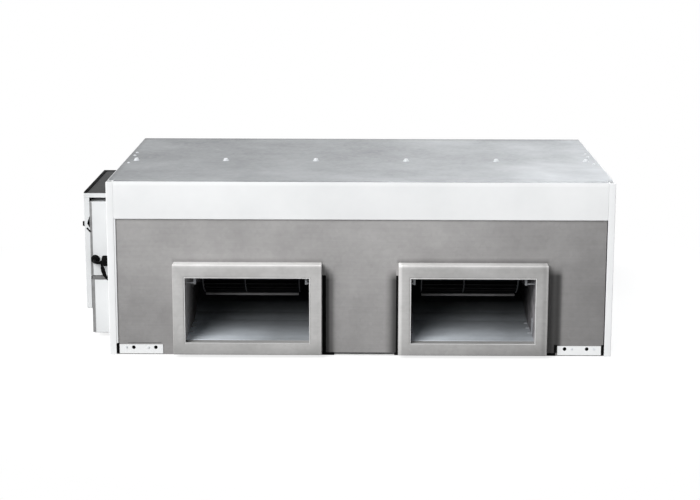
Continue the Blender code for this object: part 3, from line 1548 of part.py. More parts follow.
tube("motor_cable", smooth_route(motor_route, CABLE_SPACING), LARGE_CABLE_RADIUS, 1, BLACK)

bulb_x = COIL_LEFT - END_PLATE_SHEET / 2 - FIT
sensor_end = coil_line(bulb_x, COIL_Z + BULB_SHARE * COIL_HEIGHT, forward)
plug_along, plug_up, _, plug_tall, plug_proud = BOARD_PARTS[0]
plug_y = board_y0 + plug_along - FIT
plug_z = board_z0 + plug_up + plug_tall / 2
plug_x = board_front - plug_proud / 2
sensor_route = [
    (plug_x, plug_y, plug_z),
    (plug_x, plug_y - 0.008, plug_z),
    (small_x + 0.006, plug_y - 0.045, plug_z - 0.008),
    (small_x, BOX_Y0 + 0.070, SMALL_GLAND_HEIGHT),
    (small_x, BOX_Y0 + 0.030, SMALL_GLAND_HEIGHT),
]
sensor_route += straight_in(small_box, SMALL_GLAND_LENGTH)
sensor_route += [
    (small_x, BOX_Y0 - SMALL_GLAND_LENGTH - 0.008, SMALL_GLAND_HEIGHT - 0.001),
    (small_x + 0.004, BOX_Y0 - 0.030, SMALL_GLAND_HEIGHT - 0.010),
    (small_x + 0.014, side_small_y + 0.003, SMALL_GLAND_HEIGHT - 0.032),
    (-HALF_W - SMALL_GLAND_LENGTH - 0.011, side_small_y, SIDE_SMALL_HEIGHT + 0.001),
]
sensor_route += straight_in(small_side, SMALL_GLAND_LENGTH)[::-1]
sensor_route += [
    (-HALF_W + 0.030, side_small_y + 0.002, SIDE_SMALL_HEIGHT),
    (-HALF_W + 0.045, side_small_y + 0.040, SIDE_SMALL_HEIGHT + 0.010),
    (-HALF_W + 0.045, BOX_Y0 + 0.060, SIDE_SMALL_HEIGHT + 0.060),
    (-HALF_W + 0.045, 0.000, 0.330),
    (-HALF_W + 0.050, 0.120, 0.400),
    (-HALF_W + 0.070, sensor_end.y - 0.030, sensor_end.z + 0.010),
    (bulb_x - 0.022, sensor_end.y, sensor_end.z),
    tuple(sensor_end),
]
tube("sensor_cable", smooth_route(sensor_route, CABLE_SPACING), SMALL_CABLE_RADIUS, 1, BLACK)


# Filter rails and filters
rail_y0 = HALF_D + FIT
rail_y1 = HALF_D + RAIL_OUT
rail_half = HALF_W - RAIL_END_GAP
for name, closed_z, open_z in (
    ("lower_filter_rail", RAIL_LOW, RAIL_LOW + RAIL_GRIP),
    ("upper_filter_rail", RAIL_HIGH, RAIL_HIGH - RAIL_GRIP),
):
    folded_strip(
        name,
        [(rail_y0, open_z), (rail_y0, closed_z), (rail_y1, closed_z), (rail_y1, open_z)],
        -rail_half,
        rail_half,
        RAIL_SHEET,
        ZINC,
        ((rail_y0 + rail_y1) / 2, (closed_z + 3 * open_z) / 4),
    )

filter_low = RAIL_LOW + RAIL_SHEET + FIT
filter_high = RAIL_HIGH - RAIL_SHEET - FILTER_HEAD_GAP
filter_y0 = (rail_y0 + rail_y1 - FILTER_THICKNESS) / 2
filter_y1 = filter_y0 + FILTER_THICKNESS


def return_filter(name, side):
    """A rimmed and ribbed frame with its mesh as a thin web, and a pull tab at the outer end."""
    near = side * FILTER_SPLIT / 2
    far = side * rail_half
    x0, x1 = min(near, far), max(near, far)
    made = block(name, (x0, filter_y0, filter_low), (x1, filter_y1, filter_high), PLASTIC)
    wide = (x1 - x0 - 2 * FILTER_RIM + FILTER_RIB) / FILTER_COLUMNS
    tall = (filter_high - filter_low - 2 * FILTER_RIM + FILTER_RIB) / FILTER_ROWS
    web = (filter_y0 + filter_y1) / 2
    pockets = []
    for i in range(FILTER_COLUMNS):
        for j in range(FILTER_ROWS):
            px = x0 + FILTER_RIM + i * wide
            pz = filter_low + FILTER_RIM + j * tall
            ends = (px + wide - FILTER_RIB, pz + tall - FILTER_RIB)
            pockets.append(
                ((px, filter_y0 - FILTER_RIM, pz), (ends[0], web - FILTER_MESH / 2, ends[1]))
            )
            pockets.append(
                ((px, web + FILTER_MESH / 2, pz), (ends[0], filter_y1 + FILTER_RIM, ends[1]))
            )
    cut(made, many_blocks(name + "_windows", pockets))
    tab_x = sorted((far - side * FIT, far + side * TAB_LENGTH))
    middle_z = (filter_low + filter_high) / 2
    tab = cutter_block(
        name + "_tab",
        (tab_x[0], web - TAB_THICKNESS / 2, middle_z - TAB_HEIGHT / 2),
        (tab_x[1], web + TAB_THICKNESS / 2, middle_z + TAB_HEIGHT / 2),
    )
    unite(made, tab)
    return made


return_filter("left_filter", -1)
return_filter("right_filter", 1)

for item in PARTS.objects:
    item.data.shade_smooth()
    item.data.set_sharp_from_angle(angle=math.radians(35))
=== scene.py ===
# %% [markdown]
# # A ducted air conditioner, dressed for its portrait
# This machine lies in a ceiling void and blows through two outlets at its front.
# The plain solids are already exact, so this lesson loads them as a fixed frame
# and gives each of them a finish. Pieces whose detail is finer than the solids
# show, such as fan blades, cables, screws and fins, are modelled here.

# %% Load the frame and keep its box
import json
import math

import bmesh
import bpy
from mathutils import Matrix, Vector

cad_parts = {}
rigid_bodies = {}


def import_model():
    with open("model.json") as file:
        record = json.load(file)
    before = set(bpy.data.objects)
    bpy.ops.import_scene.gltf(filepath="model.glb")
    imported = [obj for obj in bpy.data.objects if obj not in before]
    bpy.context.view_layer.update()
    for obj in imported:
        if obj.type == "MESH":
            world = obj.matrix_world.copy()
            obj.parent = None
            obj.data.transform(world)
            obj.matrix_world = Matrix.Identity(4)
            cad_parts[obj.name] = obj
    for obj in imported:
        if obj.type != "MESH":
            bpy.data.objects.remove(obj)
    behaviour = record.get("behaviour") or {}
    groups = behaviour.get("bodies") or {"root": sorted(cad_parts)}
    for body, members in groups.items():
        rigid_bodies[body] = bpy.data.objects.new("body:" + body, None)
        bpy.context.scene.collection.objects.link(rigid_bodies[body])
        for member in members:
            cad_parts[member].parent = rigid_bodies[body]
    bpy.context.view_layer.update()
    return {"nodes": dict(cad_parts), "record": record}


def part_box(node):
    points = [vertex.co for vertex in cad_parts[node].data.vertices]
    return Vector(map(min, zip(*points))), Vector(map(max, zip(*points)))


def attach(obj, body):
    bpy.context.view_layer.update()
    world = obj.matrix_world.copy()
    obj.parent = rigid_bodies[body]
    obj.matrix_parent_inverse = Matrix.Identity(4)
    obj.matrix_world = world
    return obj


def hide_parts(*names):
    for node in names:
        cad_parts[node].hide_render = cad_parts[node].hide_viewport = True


for old in list(bpy.data.objects):
    bpy.data.objects.remove(old, do_unlink=True)
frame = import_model()
NODES = frame["nodes"]
for plain in list(bpy.data.materials):
    bpy.data.materials.remove(plain)
print("solids loaded:", len(NODES))

# %% [markdown]
# ## Camera
# The photographer stood more than five metres away with a long lens, almost in
# line with the cabinet's middle and above its top edge. A long lens keeps the
# two outlets the same size. The turn, the tilt and a trace of roll are written
# as angles, and the camera's own axes are worked out from them, because that is
# easier to correct than a matrix of nine numbers.

# %% Camera
CAMERA_PLACE = Vector((0.0161, -5.3477, 1.3254))
CAMERA_TURN, CAMERA_DOWN, CAMERA_ROLL = -0.0093, 0.20347, 0.00196
LENS, SENSOR = 89.9, 36.0

ahead = Vector(
    (
        math.sin(CAMERA_TURN) * math.cos(CAMERA_DOWN),
        math.cos(CAMERA_TURN) * math.cos(CAMERA_DOWN), -math.sin(CAMERA_DOWN),
    )
)
level = Vector((math.cos(CAMERA_TURN), -math.sin(CAMERA_TURN), 0.0))
rise = level.cross(ahead)
axis_x = math.cos(CAMERA_ROLL) * level + math.sin(CAMERA_ROLL) * rise
axis_y = math.cos(CAMERA_ROLL) * rise - math.sin(CAMERA_ROLL) * level
lens = bpy.data.cameras.new("portrait_camera")
lens.lens = LENS
lens.sensor_width = SENSOR
camera = bpy.data.objects.new("portrait_camera", lens)
bpy.context.scene.collection.objects.link(camera)
turn = Matrix((axis_x, axis_y, -ahead)).transposed().to_4x4()
camera.matrix_world = Matrix.Translation(CAMERA_PLACE) @ turn
bpy.context.scene.camera = camera
bpy.context.scene.view_settings.view_transform = "Standard"
print("camera looks along", tuple(round(a, 3) for a in ahead))

# %% [markdown]
# ## Node helpers
# Every finish below is a small network of nodes. Most of these helpers add one
# node and return the socket to read, so that a finish reads like a recipe.
# All patterns use Object coordinates, which are metres in this scene, so a
# noise scale of 100 gives features about a centimetre across. curve_of() lays
# greys along one axis. The helper after it paints light and shade over a whole
# sheet along two axes, and the one after that paints shade on a strip.


# %% Helpers for finishes
def start_finish(name, colour, roughness, metallic=0.0):
    """A material, its node tree, its shader and its Object coordinates."""
    made = bpy.data.materials.new(name)
    made.use_nodes = True
    tree = made.node_tree
    shader = tree.nodes["Principled BSDF"]
    shader.inputs["Base Color"].default_value = (*colour, 1.0)
    shader.inputs["Roughness"].default_value = roughness
    shader.inputs["Metallic"].default_value = metallic
    where = tree.nodes.new("ShaderNodeTexCoord").outputs["Object"]
    made.diffuse_color = (*colour, 1.0)
    return made, tree, shader, where


def add_node(tree, kind, *first, mode=None, **named):
    """A node whose inputs, in order or by name, get a value or a link."""
    node = tree.nodes.new("ShaderNode" + kind)
    if mode:
        node.operation = mode
    for key, value in [*enumerate(first), *named.items()]:
        entry = node.inputs[key.replace("_", " ") if isinstance(key, str) else key]
        if isinstance(value, bpy.types.NodeSocket):
            tree.links.new(value, entry)
        else:
            entry.default_value = value
    return node


def gleam(level, *finishes):
    """Set how strongly the surface of some finishes reflects."""
    for made in finishes:
        shader = made.node_tree.nodes["Principled BSDF"]
        shader.inputs["Specular IOR Level"].default_value = level


def stretched(tree, where, scale):
    """Coordinates scaled apart along the axes, for a pattern with a grain."""
    return add_node(tree, "Mapping", Vector=where, Scale=scale).outputs["Vector"]


def cloud(tree, where, scale, detail=3.0, rough=0.5):
    """Soft noise between 0 and 1."""
    noise = add_node(tree, "TexNoise", Vector=where, Scale=scale, Detail=detail, Roughness=rough)
    return noise.outputs["Fac"]


def crystals(tree, where, scale):
    """A random grey for each cell, like the crystals of a zinc coat."""
    return add_node(tree, "TexVoronoi", Vector=where, Scale=scale).outputs["Color"]


def ramp(tree, value, low, high, dark, light):
    """Colours between two limits of a value."""
    made = add_node(tree, "ValToRGB", value)
    for element, place, colour in zip(made.color_ramp.elements, (low, high), (dark, light)):
        element.position = place
        element.color = (*colour, 1.0)
    return made.outputs["Color"]


def layered(tree, share, below, above, blend="MIX"):
    """One colour over another, by a share or a socket."""
    mix = tree.nodes.new("ShaderNodeMix")
    mix.data_type = "RGBA"
    mix.blend_type = blend
    if isinstance(share, float):
        mix.inputs[0].default_value = share
    else:
        tree.links.new(share, mix.inputs[0])
    tree.links.new(below, mix.inputs[6])
    tree.links.new(above, mix.inputs[7])
    return mix.outputs[2]


def grey(value):
    """A neutral colour."""
    return (value, value, value)


def between(tree, value, low, high):
    """A value from 0 to 1 laid between two numbers."""
    return add_node(tree, "MapRange", value, To_Min=low, To_Max=high).outputs["Result"]


def dent(tree, shader, height, depth, strength=1.0):
    """A bump, its depth in metres."""
    bump = add_node(tree, "Bump", Strength=strength, Distance=depth, Height=height)
    tree.links.new(bump.outputs["Normal"], shader.inputs["Normal"])


def curve_of(tree, value, stops, white=2.0):
    """A grey that follows (place, level) stops of one coordinate."""
    low, high = stops[0][0], stops[-1][0]
    share = add_node(tree, "MapRange", value, From_Min=low, From_Max=high)
    made = add_node(tree, "ValToRGB", share.outputs["Result"])
    elements = made.color_ramp.elements
    while len(elements) < len(stops):
        elements.new(0.5)
    for element, (place, level) in zip(elements, stops):
        element.position = (place - low) / (high - low)
        element.color = (*grey(level / white), 1.0)
    return made.outputs["Color"]


def paint_light_along(tree, where, base, light_fade):
    """Painted light and shade: a sheet darker or lighter along X and along one more axis."""
    parts = add_node(tree, "SeparateXYZ", where).outputs
    tone = layered(tree, 1.0, base, curve_of(tree, parts["X"], light_fade[0]), "MULTIPLY")
    tone = layered(tree, 1.0, tone, curve_of(tree, parts[light_fade[1]], light_fade[2]), "MULTIPLY")
    # Both curves are stored at half their level, so the product is taken four times.
    return add_node(tree, "VectorMath", tone, mode="SCALE", Scale=4.0).outputs[0]


def paint_shade_along(tree, where, base, painted_shade):
    """Painted shade: darken a sheet along X, by a share that fades out along Z."""
    parts = add_node(tree, "SeparateXYZ", where).outputs
    shade_level = curve_of(tree, parts["X"], painted_shade[0], 1.0)
    share = curve_of(tree, parts["Z"], painted_shade[1], 1.0)
    return layered(tree, share, base, layered(tree, 1.0, base, shade_level, "MULTIPLY"))


# %% [markdown]
# ## White powder coat
# The rail, the posts, the feet and the electrical box are powder coated. The
# coat is nearly white, a little cool, with a fine orange peel and faint clouds
# where hands and dust have dulled it. A clean flat white would look like paper,
# so one noise dulls the colour and the gloss a little, and a finer one makes
# the orange peel. The rail's coat is also painted lighter at its left end, as
# its light is, with painted highlights along its top and bottom edges. The
# box's copy of the coat is painted darker: painted shade.


# %% White powder coat
def white_powder_coat(name, dusty, clean, light_fade=None):
    made, tree, shader, where = start_finish(name, clean, 0.42)
    dust = cloud(tree, where, 6.0, 5.0, 0.6)
    tone = ramp(tree, dust, 0.3, 0.7, dusty, clean)
    # Painted light and painted highlights, where a table of levels is given.
    if light_fade:
        tone = paint_light_along(tree, where, tone, light_fade)
    tree.links.new(tone, shader.inputs["Base Color"])
    tree.links.new(between(tree, dust, 0.50, 0.36), shader.inputs["Roughness"])
    dent(tree, shader, cloud(tree, where, 900.0, 2.0), 0.00006, 0.35)
    return made


PALE = (0.80, 0.81, 0.815), (0.86, 0.868, 0.872)
WHITE = white_powder_coat("white_paint", *PALE)
# Painted shade: the box has the same coat as the rail, painted darker.
BOX_WHITE = white_powder_coat("box_white_paint", (0.64, 0.65, 0.655), (0.69, 0.70, 0.705))
# Painted light: lighter at the rail's left end, with painted highlights along its top and bottom
# edges.
RAIL_PAINTED_LIGHT = (
    ((-0.71, 1.06), (-0.35, 1.045), (0.0, 0.985), (0.35, 0.985), (0.71, 0.955)),
    "Z",
    (
        (0.400, 1.08), (0.408, 1.05), (0.415, 1.035), (0.45, 1.02), (0.496, 1.0), (0.501, 1.06),
        (0.511, 1.07),
    ),
)
RAIL_WHITE = white_powder_coat("rail_white_paint", *PALE, RAIL_PAINTED_LIGHT)
print("finishes:", WHITE.name, BOX_WHITE.name, RAIL_WHITE.name)

# %% [markdown]
# ## Zinc coated sheet
# The top, the front, the collars, the inside and the rear are galvanised. Zinc
# freezes in crystals about a centimetre wide that turn the light differently,
# and handling leaves long faint scratches along the rolling direction. A
# Voronoi pattern gives the crystals, and a stretched noise the scratches. Each
# table of levels below holds levels along X, then along one more axis: painted
# light and shade, the grey that the light gives to the sheet from place to place.


# %% Zinc coated sheet
def zinc_sheet(name, dark, light, metallic, crystal_share, blotch_scale=3.0, light_fade=None, painted_shade=None):
    made, tree, shader, where = start_finish(name, light, 0.42, metallic)
    blotches = cloud(tree, where, blotch_scale, 6.0, 0.62)
    base = ramp(tree, blotches, 0.32, 0.68, dark, light)
    # Painted light and shade over the whole sheet, then painted shade in a strip.
    if light_fade:
        base = paint_light_along(tree, where, base, light_fade)
    if painted_shade:
        base = paint_shade_along(tree, where, base, painted_shade)
    cells = crystals(tree, where, 95.0)
    flakes = ramp(tree, cells, 0.0, 1.0, grey(0.42), grey(0.58))
    tone = layered(tree, crystal_share, base, flakes, "OVERLAY")
    scratches = cloud(tree, stretched(tree, where, (3.0, 160.0, 160.0)), 1.0, 4.0, 0.7)
    marks = ramp(tree, scratches, 0.40, 0.62, grey(0.44), grey(0.53))
    tone = layered(tree, 0.22, tone, marks, "OVERLAY")
    tree.links.new(tone, shader.inputs["Base Color"])
    tree.links.new(between(tree, cells, 0.36, 0.52), shader.inputs["Roughness"])
    dent(tree, shader, cloud(tree, where, 14.0, 3.0), 0.0006, 0.25)
    return made


ZINC = zinc_sheet("galvanised_sheet", (0.30, 0.31, 0.325), (0.40, 0.415, 0.43), 0.15, 0.5)
# Painted light: the top is painted lighter towards the right and darker along its left and rear
# edges, as its light falls.
TOP_PAINTED_LIGHT = (
    (
        (-0.722, 0.60), (-0.705, 0.93), (0.0, 0.93), (0.35, 1.05), (0.60, 1.26), (0.64, 1.33),
        (0.68, 1.48), (0.722, 1.56),
    ),
    "Y",
    (
        (-0.44, 0.95), (-0.38, 1.04), (-0.25, 0.96), (0.0, 0.82), (0.405, 0.82), (0.418, 0.62),
        (0.44, 0.60),
    ),
)
TOP_ZINC = zinc_sheet(
    "top_sheet", (0.195, 0.205, 0.218), (0.40, 0.415, 0.43), 0.2, 0.4, 3.4, TOP_PAINTED_LIGHT,
)
# Painted light and shade: the front sheet is painted darker towards the right and the bottom, with
# a painted shadow just under the rail.
FRONT_PAINTED_LIGHT = (
    ((-0.70, 1.03), (0.10, 1.06), (0.70, 0.74)), "Z",
    ((0.0, 0.74), (0.390, 1.02), (0.394, 0.95), (0.398, 0.85), (0.401, 0.82)),
)
FRONT_TONES = ((0.305, 0.298, 0.296), (0.395, 0.387, 0.384), 0.0, 0.25, 5.0, FRONT_PAINTED_LIGHT)
FRONT_ZINC = zinc_sheet("front_sheet", *FRONT_TONES)
# Painted light: the collars are painted darker towards the right and the bottom, lighter along
# their edges that face the middle, with a painted highlight along their tops.
COLLAR_PAINTED_LIGHT = (
    (
        (-0.54, 0.97), (-0.32, 1.0), (-0.118, 1.0), (-0.1165, 1.12), (-0.1095, 1.12),
        (0.1095, 1.18), (0.1118, 1.46), (0.1168, 1.42), (0.1192, 1.0), (0.16, 0.90), (0.518, 0.77),
        (0.526, 0.64), (0.530, 0.64), (0.5335, 0.82), (0.5386, 0.90),
    ),
    "Z",
    (
        (0.01, 0.78), (0.06, 0.98), (0.266, 1.02), (0.2695, 1.15), (0.2725, 1.40), (0.2738, 1.70),
        (0.2746, 1.80),
    ),
)
COLLAR_ZINC = zinc_sheet(
    "collar_sheet", (0.42, 0.415, 0.408), (0.52, 0.514, 0.508), 0.0, 0.25, 9.0, COLLAR_PAINTED_LIGHT
)
# Painted light and shade: the scroll floors are painted bright at the outlets and darker deeper
# inside, and lighter at the left of each outlet, where the lamp leaves shadow.
SCROLL_PAINTED_LIGHT = (
    (
        (-0.505, 2.0), (-0.47, 1.80), (-0.42, 1.55), (-0.37, 1.32), (-0.33, 1.10), (-0.25, 0.78),
        (-0.145, 0.75), (0.145, 1.45), (0.22, 1.40), (0.29, 1.15), (0.36, 1.0), (0.44, 0.74),
        (0.505, 0.72),
    ),
    "Y",
    (
        (-0.44, 0.82), (-0.40, 0.86), (-0.37, 0.72), (-0.34, 0.67), (-0.30, 0.63), (-0.26, 0.57),
        (-0.22, 0.57), (-0.19, 0.50), (-0.165, 0.43), (-0.15, 0.36), (-0.135, 0.26),
        (-0.115, 0.17), (-0.09, 0.12), (-0.075, 0.04),
    ),
)
# Painted shade: the side plates are painted darker deeper inside.
CHEEK_PAINTED_SHADE = (
    ((-0.7, 1.0), (0.7, 1.0)), "Y",
    ((-0.44, 1.0), (-0.39, 1.0), (-0.34, 0.72), (-0.28, 0.45), (-0.20, 0.25), (-0.1, 0.16)),
)
SCROLL_ZINC = zinc_sheet(
    "scroll_sheet", (0.60, 0.64, 0.68), (0.74, 0.79, 0.84), 0.05, 0.4, 8.0, SCROLL_PAINTED_LIGHT
)
# The side plates take three copies of one sheet, their greys set for the light each plate gets:
# painted light and shade.
CHEEK_ZINC = zinc_sheet(
    "scroll_side_sheet", (0.17, 0.165, 0.165), (0.25, 0.245, 0.245), 0.05, 0.4, 12.0, CHEEK_PAINTED_SHADE
)
SHADED_CHEEK_ZINC = zinc_sheet(
    "shaded_side_sheet", (0.44, 0.415, 0.41), (0.64, 0.615, 0.61), 0.05, 0.4, 12.0, CHEEK_PAINTED_SHADE
)
LIT_CHEEK_ZINC = zinc_sheet(
    "lit_side_sheet", (0.13, 0.125, 0.128), (0.66, 0.63, 0.65), 0.05, 0.4, 17.0, CHEEK_PAINTED_SHADE
)
# Paler than the collar's zinc: on the outlet hems this is a painted highlight along their bend. It
# also makes the sill.
HEM_ZINC = zinc_sheet("hem_sheet", (0.56, 0.56, 0.555), (0.66, 0.66, 0.655), 0.05, 0.25, 20.0)
SHEET_GLEAM = 0.22
gleam(SHEET_GLEAM, FRONT_ZINC, COLLAR_ZINC, SCROLL_ZINC)
gleam(SHEET_GLEAM, CHEEK_ZINC, SHADED_CHEEK_ZINC, LIT_CHEEK_ZINC)
print("finishes:", ZINC.name, FRONT_ZINC.name, COLLAR_ZINC.name, SCROLL_ZINC.name)


# %% [markdown]
# ## Bare metals
# Shaft, straps and hinges are bright steel, the pipes are copper that has
# darkened where it was handled, and the valve, the flare nuts and the terminals
# are brass. Each one is a tinted metal whose gloss wanders, because an even
# gloss looks like chrome. The wheels, their rings and the scrolls' lips are
# zinc coated sheet, painted darker because they stand inside: painted shade.


# %% Bare metals
def bare_metal(name, dark, light, gloss, dull, scale=25.0):
    made, tree, shader, where = start_finish(name, light, dull, 1.0)
    stain = cloud(tree, where, scale, 5.0, 0.6)
    tree.links.new(ramp(tree, stain, 0.35, 0.65, dark, light), shader.inputs["Base Color"])
    tree.links.new(between(tree, stain, dull, gloss), shader.inputs["Roughness"])
    dent(tree, shader, cloud(tree, where, 400.0, 2.0), 0.00005, 0.3)
    return made


STEEL = bare_metal("bright_steel", (0.50, 0.51, 0.53), (0.68, 0.69, 0.70), 0.26, 0.42)
COPPER = bare_metal("copper", (0.42, 0.19, 0.11), (0.78, 0.42, 0.28), 0.24, 0.46, 40.0)
BRASS = bare_metal("brass", (0.52, 0.38, 0.16), (0.76, 0.60, 0.30), 0.24, 0.42, 60.0)
ALUMINIUM = bare_metal("fin_aluminium", (0.62, 0.64, 0.66), (0.80, 0.82, 0.84), 0.30, 0.44, 12.0)
# Painted shade: rings, lips and blades are painted dark for the shade inside the outlets, the
# blades darkest.
RING_ZINC = zinc_sheet("ring_sheet", (0.085, 0.085, 0.09), (0.14, 0.145, 0.15), 0.0, 0.3, 20.0)
LIP_ZINC = zinc_sheet("lip_sheet", (0.15, 0.145, 0.145), (0.22, 0.215, 0.215), 0.0, 0.3, 20.0)
WHEEL_ZINC = zinc_sheet(
    "wheel_sheet", (0.010, 0.010, 0.011), (0.021, 0.021, 0.022), 0.0, 0.3, 20.0,
)
gleam(0.15, RING_ZINC, WHEEL_ZINC)
CORE_STEEL = bare_metal("core_steel", (0.13, 0.13, 0.135), (0.22, 0.22, 0.23), 0.38, 0.52)
CAN_ALUMINIUM = bare_metal(
    "can_aluminium", (0.40, 0.41, 0.42), (0.54, 0.55, 0.56), 0.30, 0.44, 30.0,
)
print("finishes:", STEEL.name, COPPER.name, BRASS.name, ALUMINIUM.name, WHEEL_ZINC.name)


# %% [markdown]
# ## Paints, plastics, rubber and felt
# What isn't metal is mostly dark and dull. Each has its own grain: enamel has
# soft waves, moulded plastic a fine texture, foam tiny closed cells, and felt
# short tangled fibres that show as two noises of different width.


# %% Dull finishes
def dull_finish(name, dark, light, roughness, scale, grain, depth):
    made, tree, shader, where = start_finish(name, light, roughness)
    patch = cloud(tree, where, scale, 4.0, 0.6)
    tree.links.new(ramp(tree, patch, 0.3, 0.7, dark, light), shader.inputs["Base Color"])
    tree.links.new(
        between(tree, patch, roughness + 0.06, roughness - 0.06), shader.inputs["Roughness"],
    )
    dent(tree, shader, cloud(tree, where, grain, 3.0, 0.6), depth, 0.6)
    return made


MOTOR_PAINT = dull_finish(
    "motor_paint", grey(0.045), (0.07, 0.074, 0.08), 0.40, 20.0, 300.0, 0.0002,
)
FOAM = dull_finish("drain_pan_foam", grey(0.07), grey(0.11), 0.88, 30.0, 700.0, 0.0005)
BLACK = dull_finish("black_plastic", grey(0.002), grey(0.006), 0.56, 40.0, 900.0, 0.0001)
RUBBER = dull_finish("black_rubber", grey(0.003), grey(0.008), 0.80, 30.0, 600.0, 0.0002)
SOCKET_CREAM = dull_finish(
    "socket_cream", (0.52, 0.50, 0.44), (0.62, 0.60, 0.54), 0.45, 80.0, 700.0, 0.00005,
)
# The three greys below draw painted shadow in slits, gaps and lines.
SLIT_GREY = dull_finish("shadow_grey", grey(0.20), grey(0.30), 0.80, 30.0, 600.0, 0.0002)
SLOT_GREY = dull_finish("slot_grey", grey(0.12), grey(0.19), 0.80, 30.0, 600.0, 0.0002)
LINE_GREY = dull_finish("line_grey", grey(0.05), grey(0.085), 0.80, 30.0, 600.0, 0.0002)
gleam(0.04, BLACK, RUBBER, SLIT_GREY, SLOT_GREY, LINE_GREY)
BOARD = dull_finish(
    "circuit_board", (0.015, 0.11, 0.045), (0.03, 0.17, 0.07), 0.38, 60.0, 500.0, 0.0001,
)
SCREW_ZINC = dull_finish(
    "screw_zinc", (0.62, 0.64, 0.66), (0.78, 0.80, 0.82), 0.34, 120.0, 500.0, 0.00005,
)
PLASTIC = dull_finish(
    "filter_plastic", (0.16, 0.175, 0.19), (0.20, 0.215, 0.23), 0.55, 25.0, 600.0, 0.0002,
)


def wool_felt():
    made, tree, shader, where = start_finish("grey_felt", grey(0.07), 0.95)
    fibres = cloud(tree, stretched(tree, where, (1.0, 2.6, 1.0)), 420.0, 4.0, 0.75)
    clumps = cloud(tree, where, 45.0, 3.0)
    tone = layered(
        tree, 0.5, ramp(tree, fibres, 0.3, 0.7, grey(0.036), grey(0.150)),
        ramp(tree, clumps, 0.3, 0.7, grey(0.065), grey(0.110)),
    )
    tree.links.new(tone, shader.inputs["Base Color"])
    dent(tree, shader, fibres, 0.0008, 0.8)
    return made


FELT = wool_felt()
gleam(0.1, FELT)
print("finishes:", MOTOR_PAINT.name, FOAM.name, BLACK.name, RUBBER.name, FELT.name)

# %% [markdown]
# ## Give every solid its finish
# The record says which finish each solid takes. The slots there have the same
# names as the materials here, so one loop dresses the whole frame, and nothing
# is left in a plain colour. OWN_FINISH names the solids that take a finish of
# their own, most of them with painted light and shade in it.

# %% Dress the solids
FINISHES = {
    made.name: made
    for made in (
        WHITE, ZINC, FRONT_ZINC, COLLAR_ZINC, STEEL, MOTOR_PAINT, ALUMINIUM, COPPER, BRASS, FOAM,
        BLACK, RUBBER, FELT, BOARD, PLASTIC,
    )
}
OWN_FINISH = {
    "top_panel": TOP_ZINC, "front_top_rail": RAIL_WHITE, "control_box": BOX_WHITE,
    "control_box_lid": BOX_WHITE, "wiring_cover": BOX_WHITE, "left_scroll_wrap": SCROLL_ZINC,
    "right_scroll_wrap": SCROLL_ZINC, "left_scroll_outer_side": SHADED_CHEEK_ZINC,
    "left_scroll_inner_side": CHEEK_ZINC, "right_scroll_outer_side": LIT_CHEEK_ZINC,
    "right_scroll_inner_side": SHADED_CHEEK_ZINC, "left_blower_wheel": WHEEL_ZINC,
    "right_blower_wheel": WHEEL_ZINC,
}
SLOT_OF = {}
for part in frame["record"]["subparts"]:
    SLOT_OF[part["node"]] = part["material_slot"]
    solid = NODES[part["node"]]
    solid.data.materials.clear()
    solid.data.materials.append(OWN_FINISH.get(part["node"], FINISHES[part["material_slot"]]))
print("solids dressed:", len(SLOT_OF))


# %% [markdown]
# ## Making pieces
# Each new piece is a bmesh that becomes one object at the origin, with its
# place in its vertices. put() also says which body carries it, which solids it
# stands for and which finish it takes, and prints how many faces it has. The
# other helpers add a box, a turned profile or a prism, which is how most small
# parts are cut.


# %% Helpers for pieces
def put(name, shape, finish, body="cabinet", stands_for=(), angle=28.0, slot=None):
    """Turn a bmesh into a finished piece that rides on a body."""
    mesh = bpy.data.meshes.new(name)
    shape.to_mesh(mesh)
    shape.free()
    mesh.materials.append(finish)
    mesh.shade_smooth()
    mesh.set_sharp_from_angle(angle=math.radians(angle))
    made = bpy.data.objects.new(name, mesh)
    bpy.context.scene.collection.objects.link(made)
    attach(made, body)
    if stands_for:
        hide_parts(*stands_for)
    print(name, "faces:", len(mesh.polygons))


def break_edges(shape, edges, width, segments=2, clamp=False):
    """Bevel some edges with a round profile."""
    bmesh.ops.bevel(
        shape, geom=edges, offset=width, segments=segments, affect="EDGES", profile=0.5,
        material=-1, clamp_overlap=clamp,
    )


def block_into(shape, low, high, bevel=0.0, segments=2):
    """Add a box with broken edges to a bmesh."""
    low, high = Vector(low), Vector(high)
    place = Matrix.LocRotScale((low + high) / 2, None, high - low)
    grown = bmesh.ops.create_cube(shape, size=1.0, matrix=place)
    if bevel:
        edges = list({edge for vert in grown["verts"] for edge in vert.link_edges})
        break_edges(shape, edges, bevel, segments)


def put_blocks(name, finish, blocks, **rest):
    """A piece made of boxes, each a low corner, a high corner and a bevel."""
    shape = bmesh.new()
    for block in blocks:
        block_into(shape, *block)
    put(name, shape, finish, **rest)


def prism_into(shape, place, radius, depth, sides=6, top=None):
    """Add a closed prism or cone with its middle at the place, along its own Z."""
    bmesh.ops.create_cone(
        shape, cap_ends=True, segments=sides, radius1=radius, radius2=top or radius, depth=depth,
        matrix=place,
    )


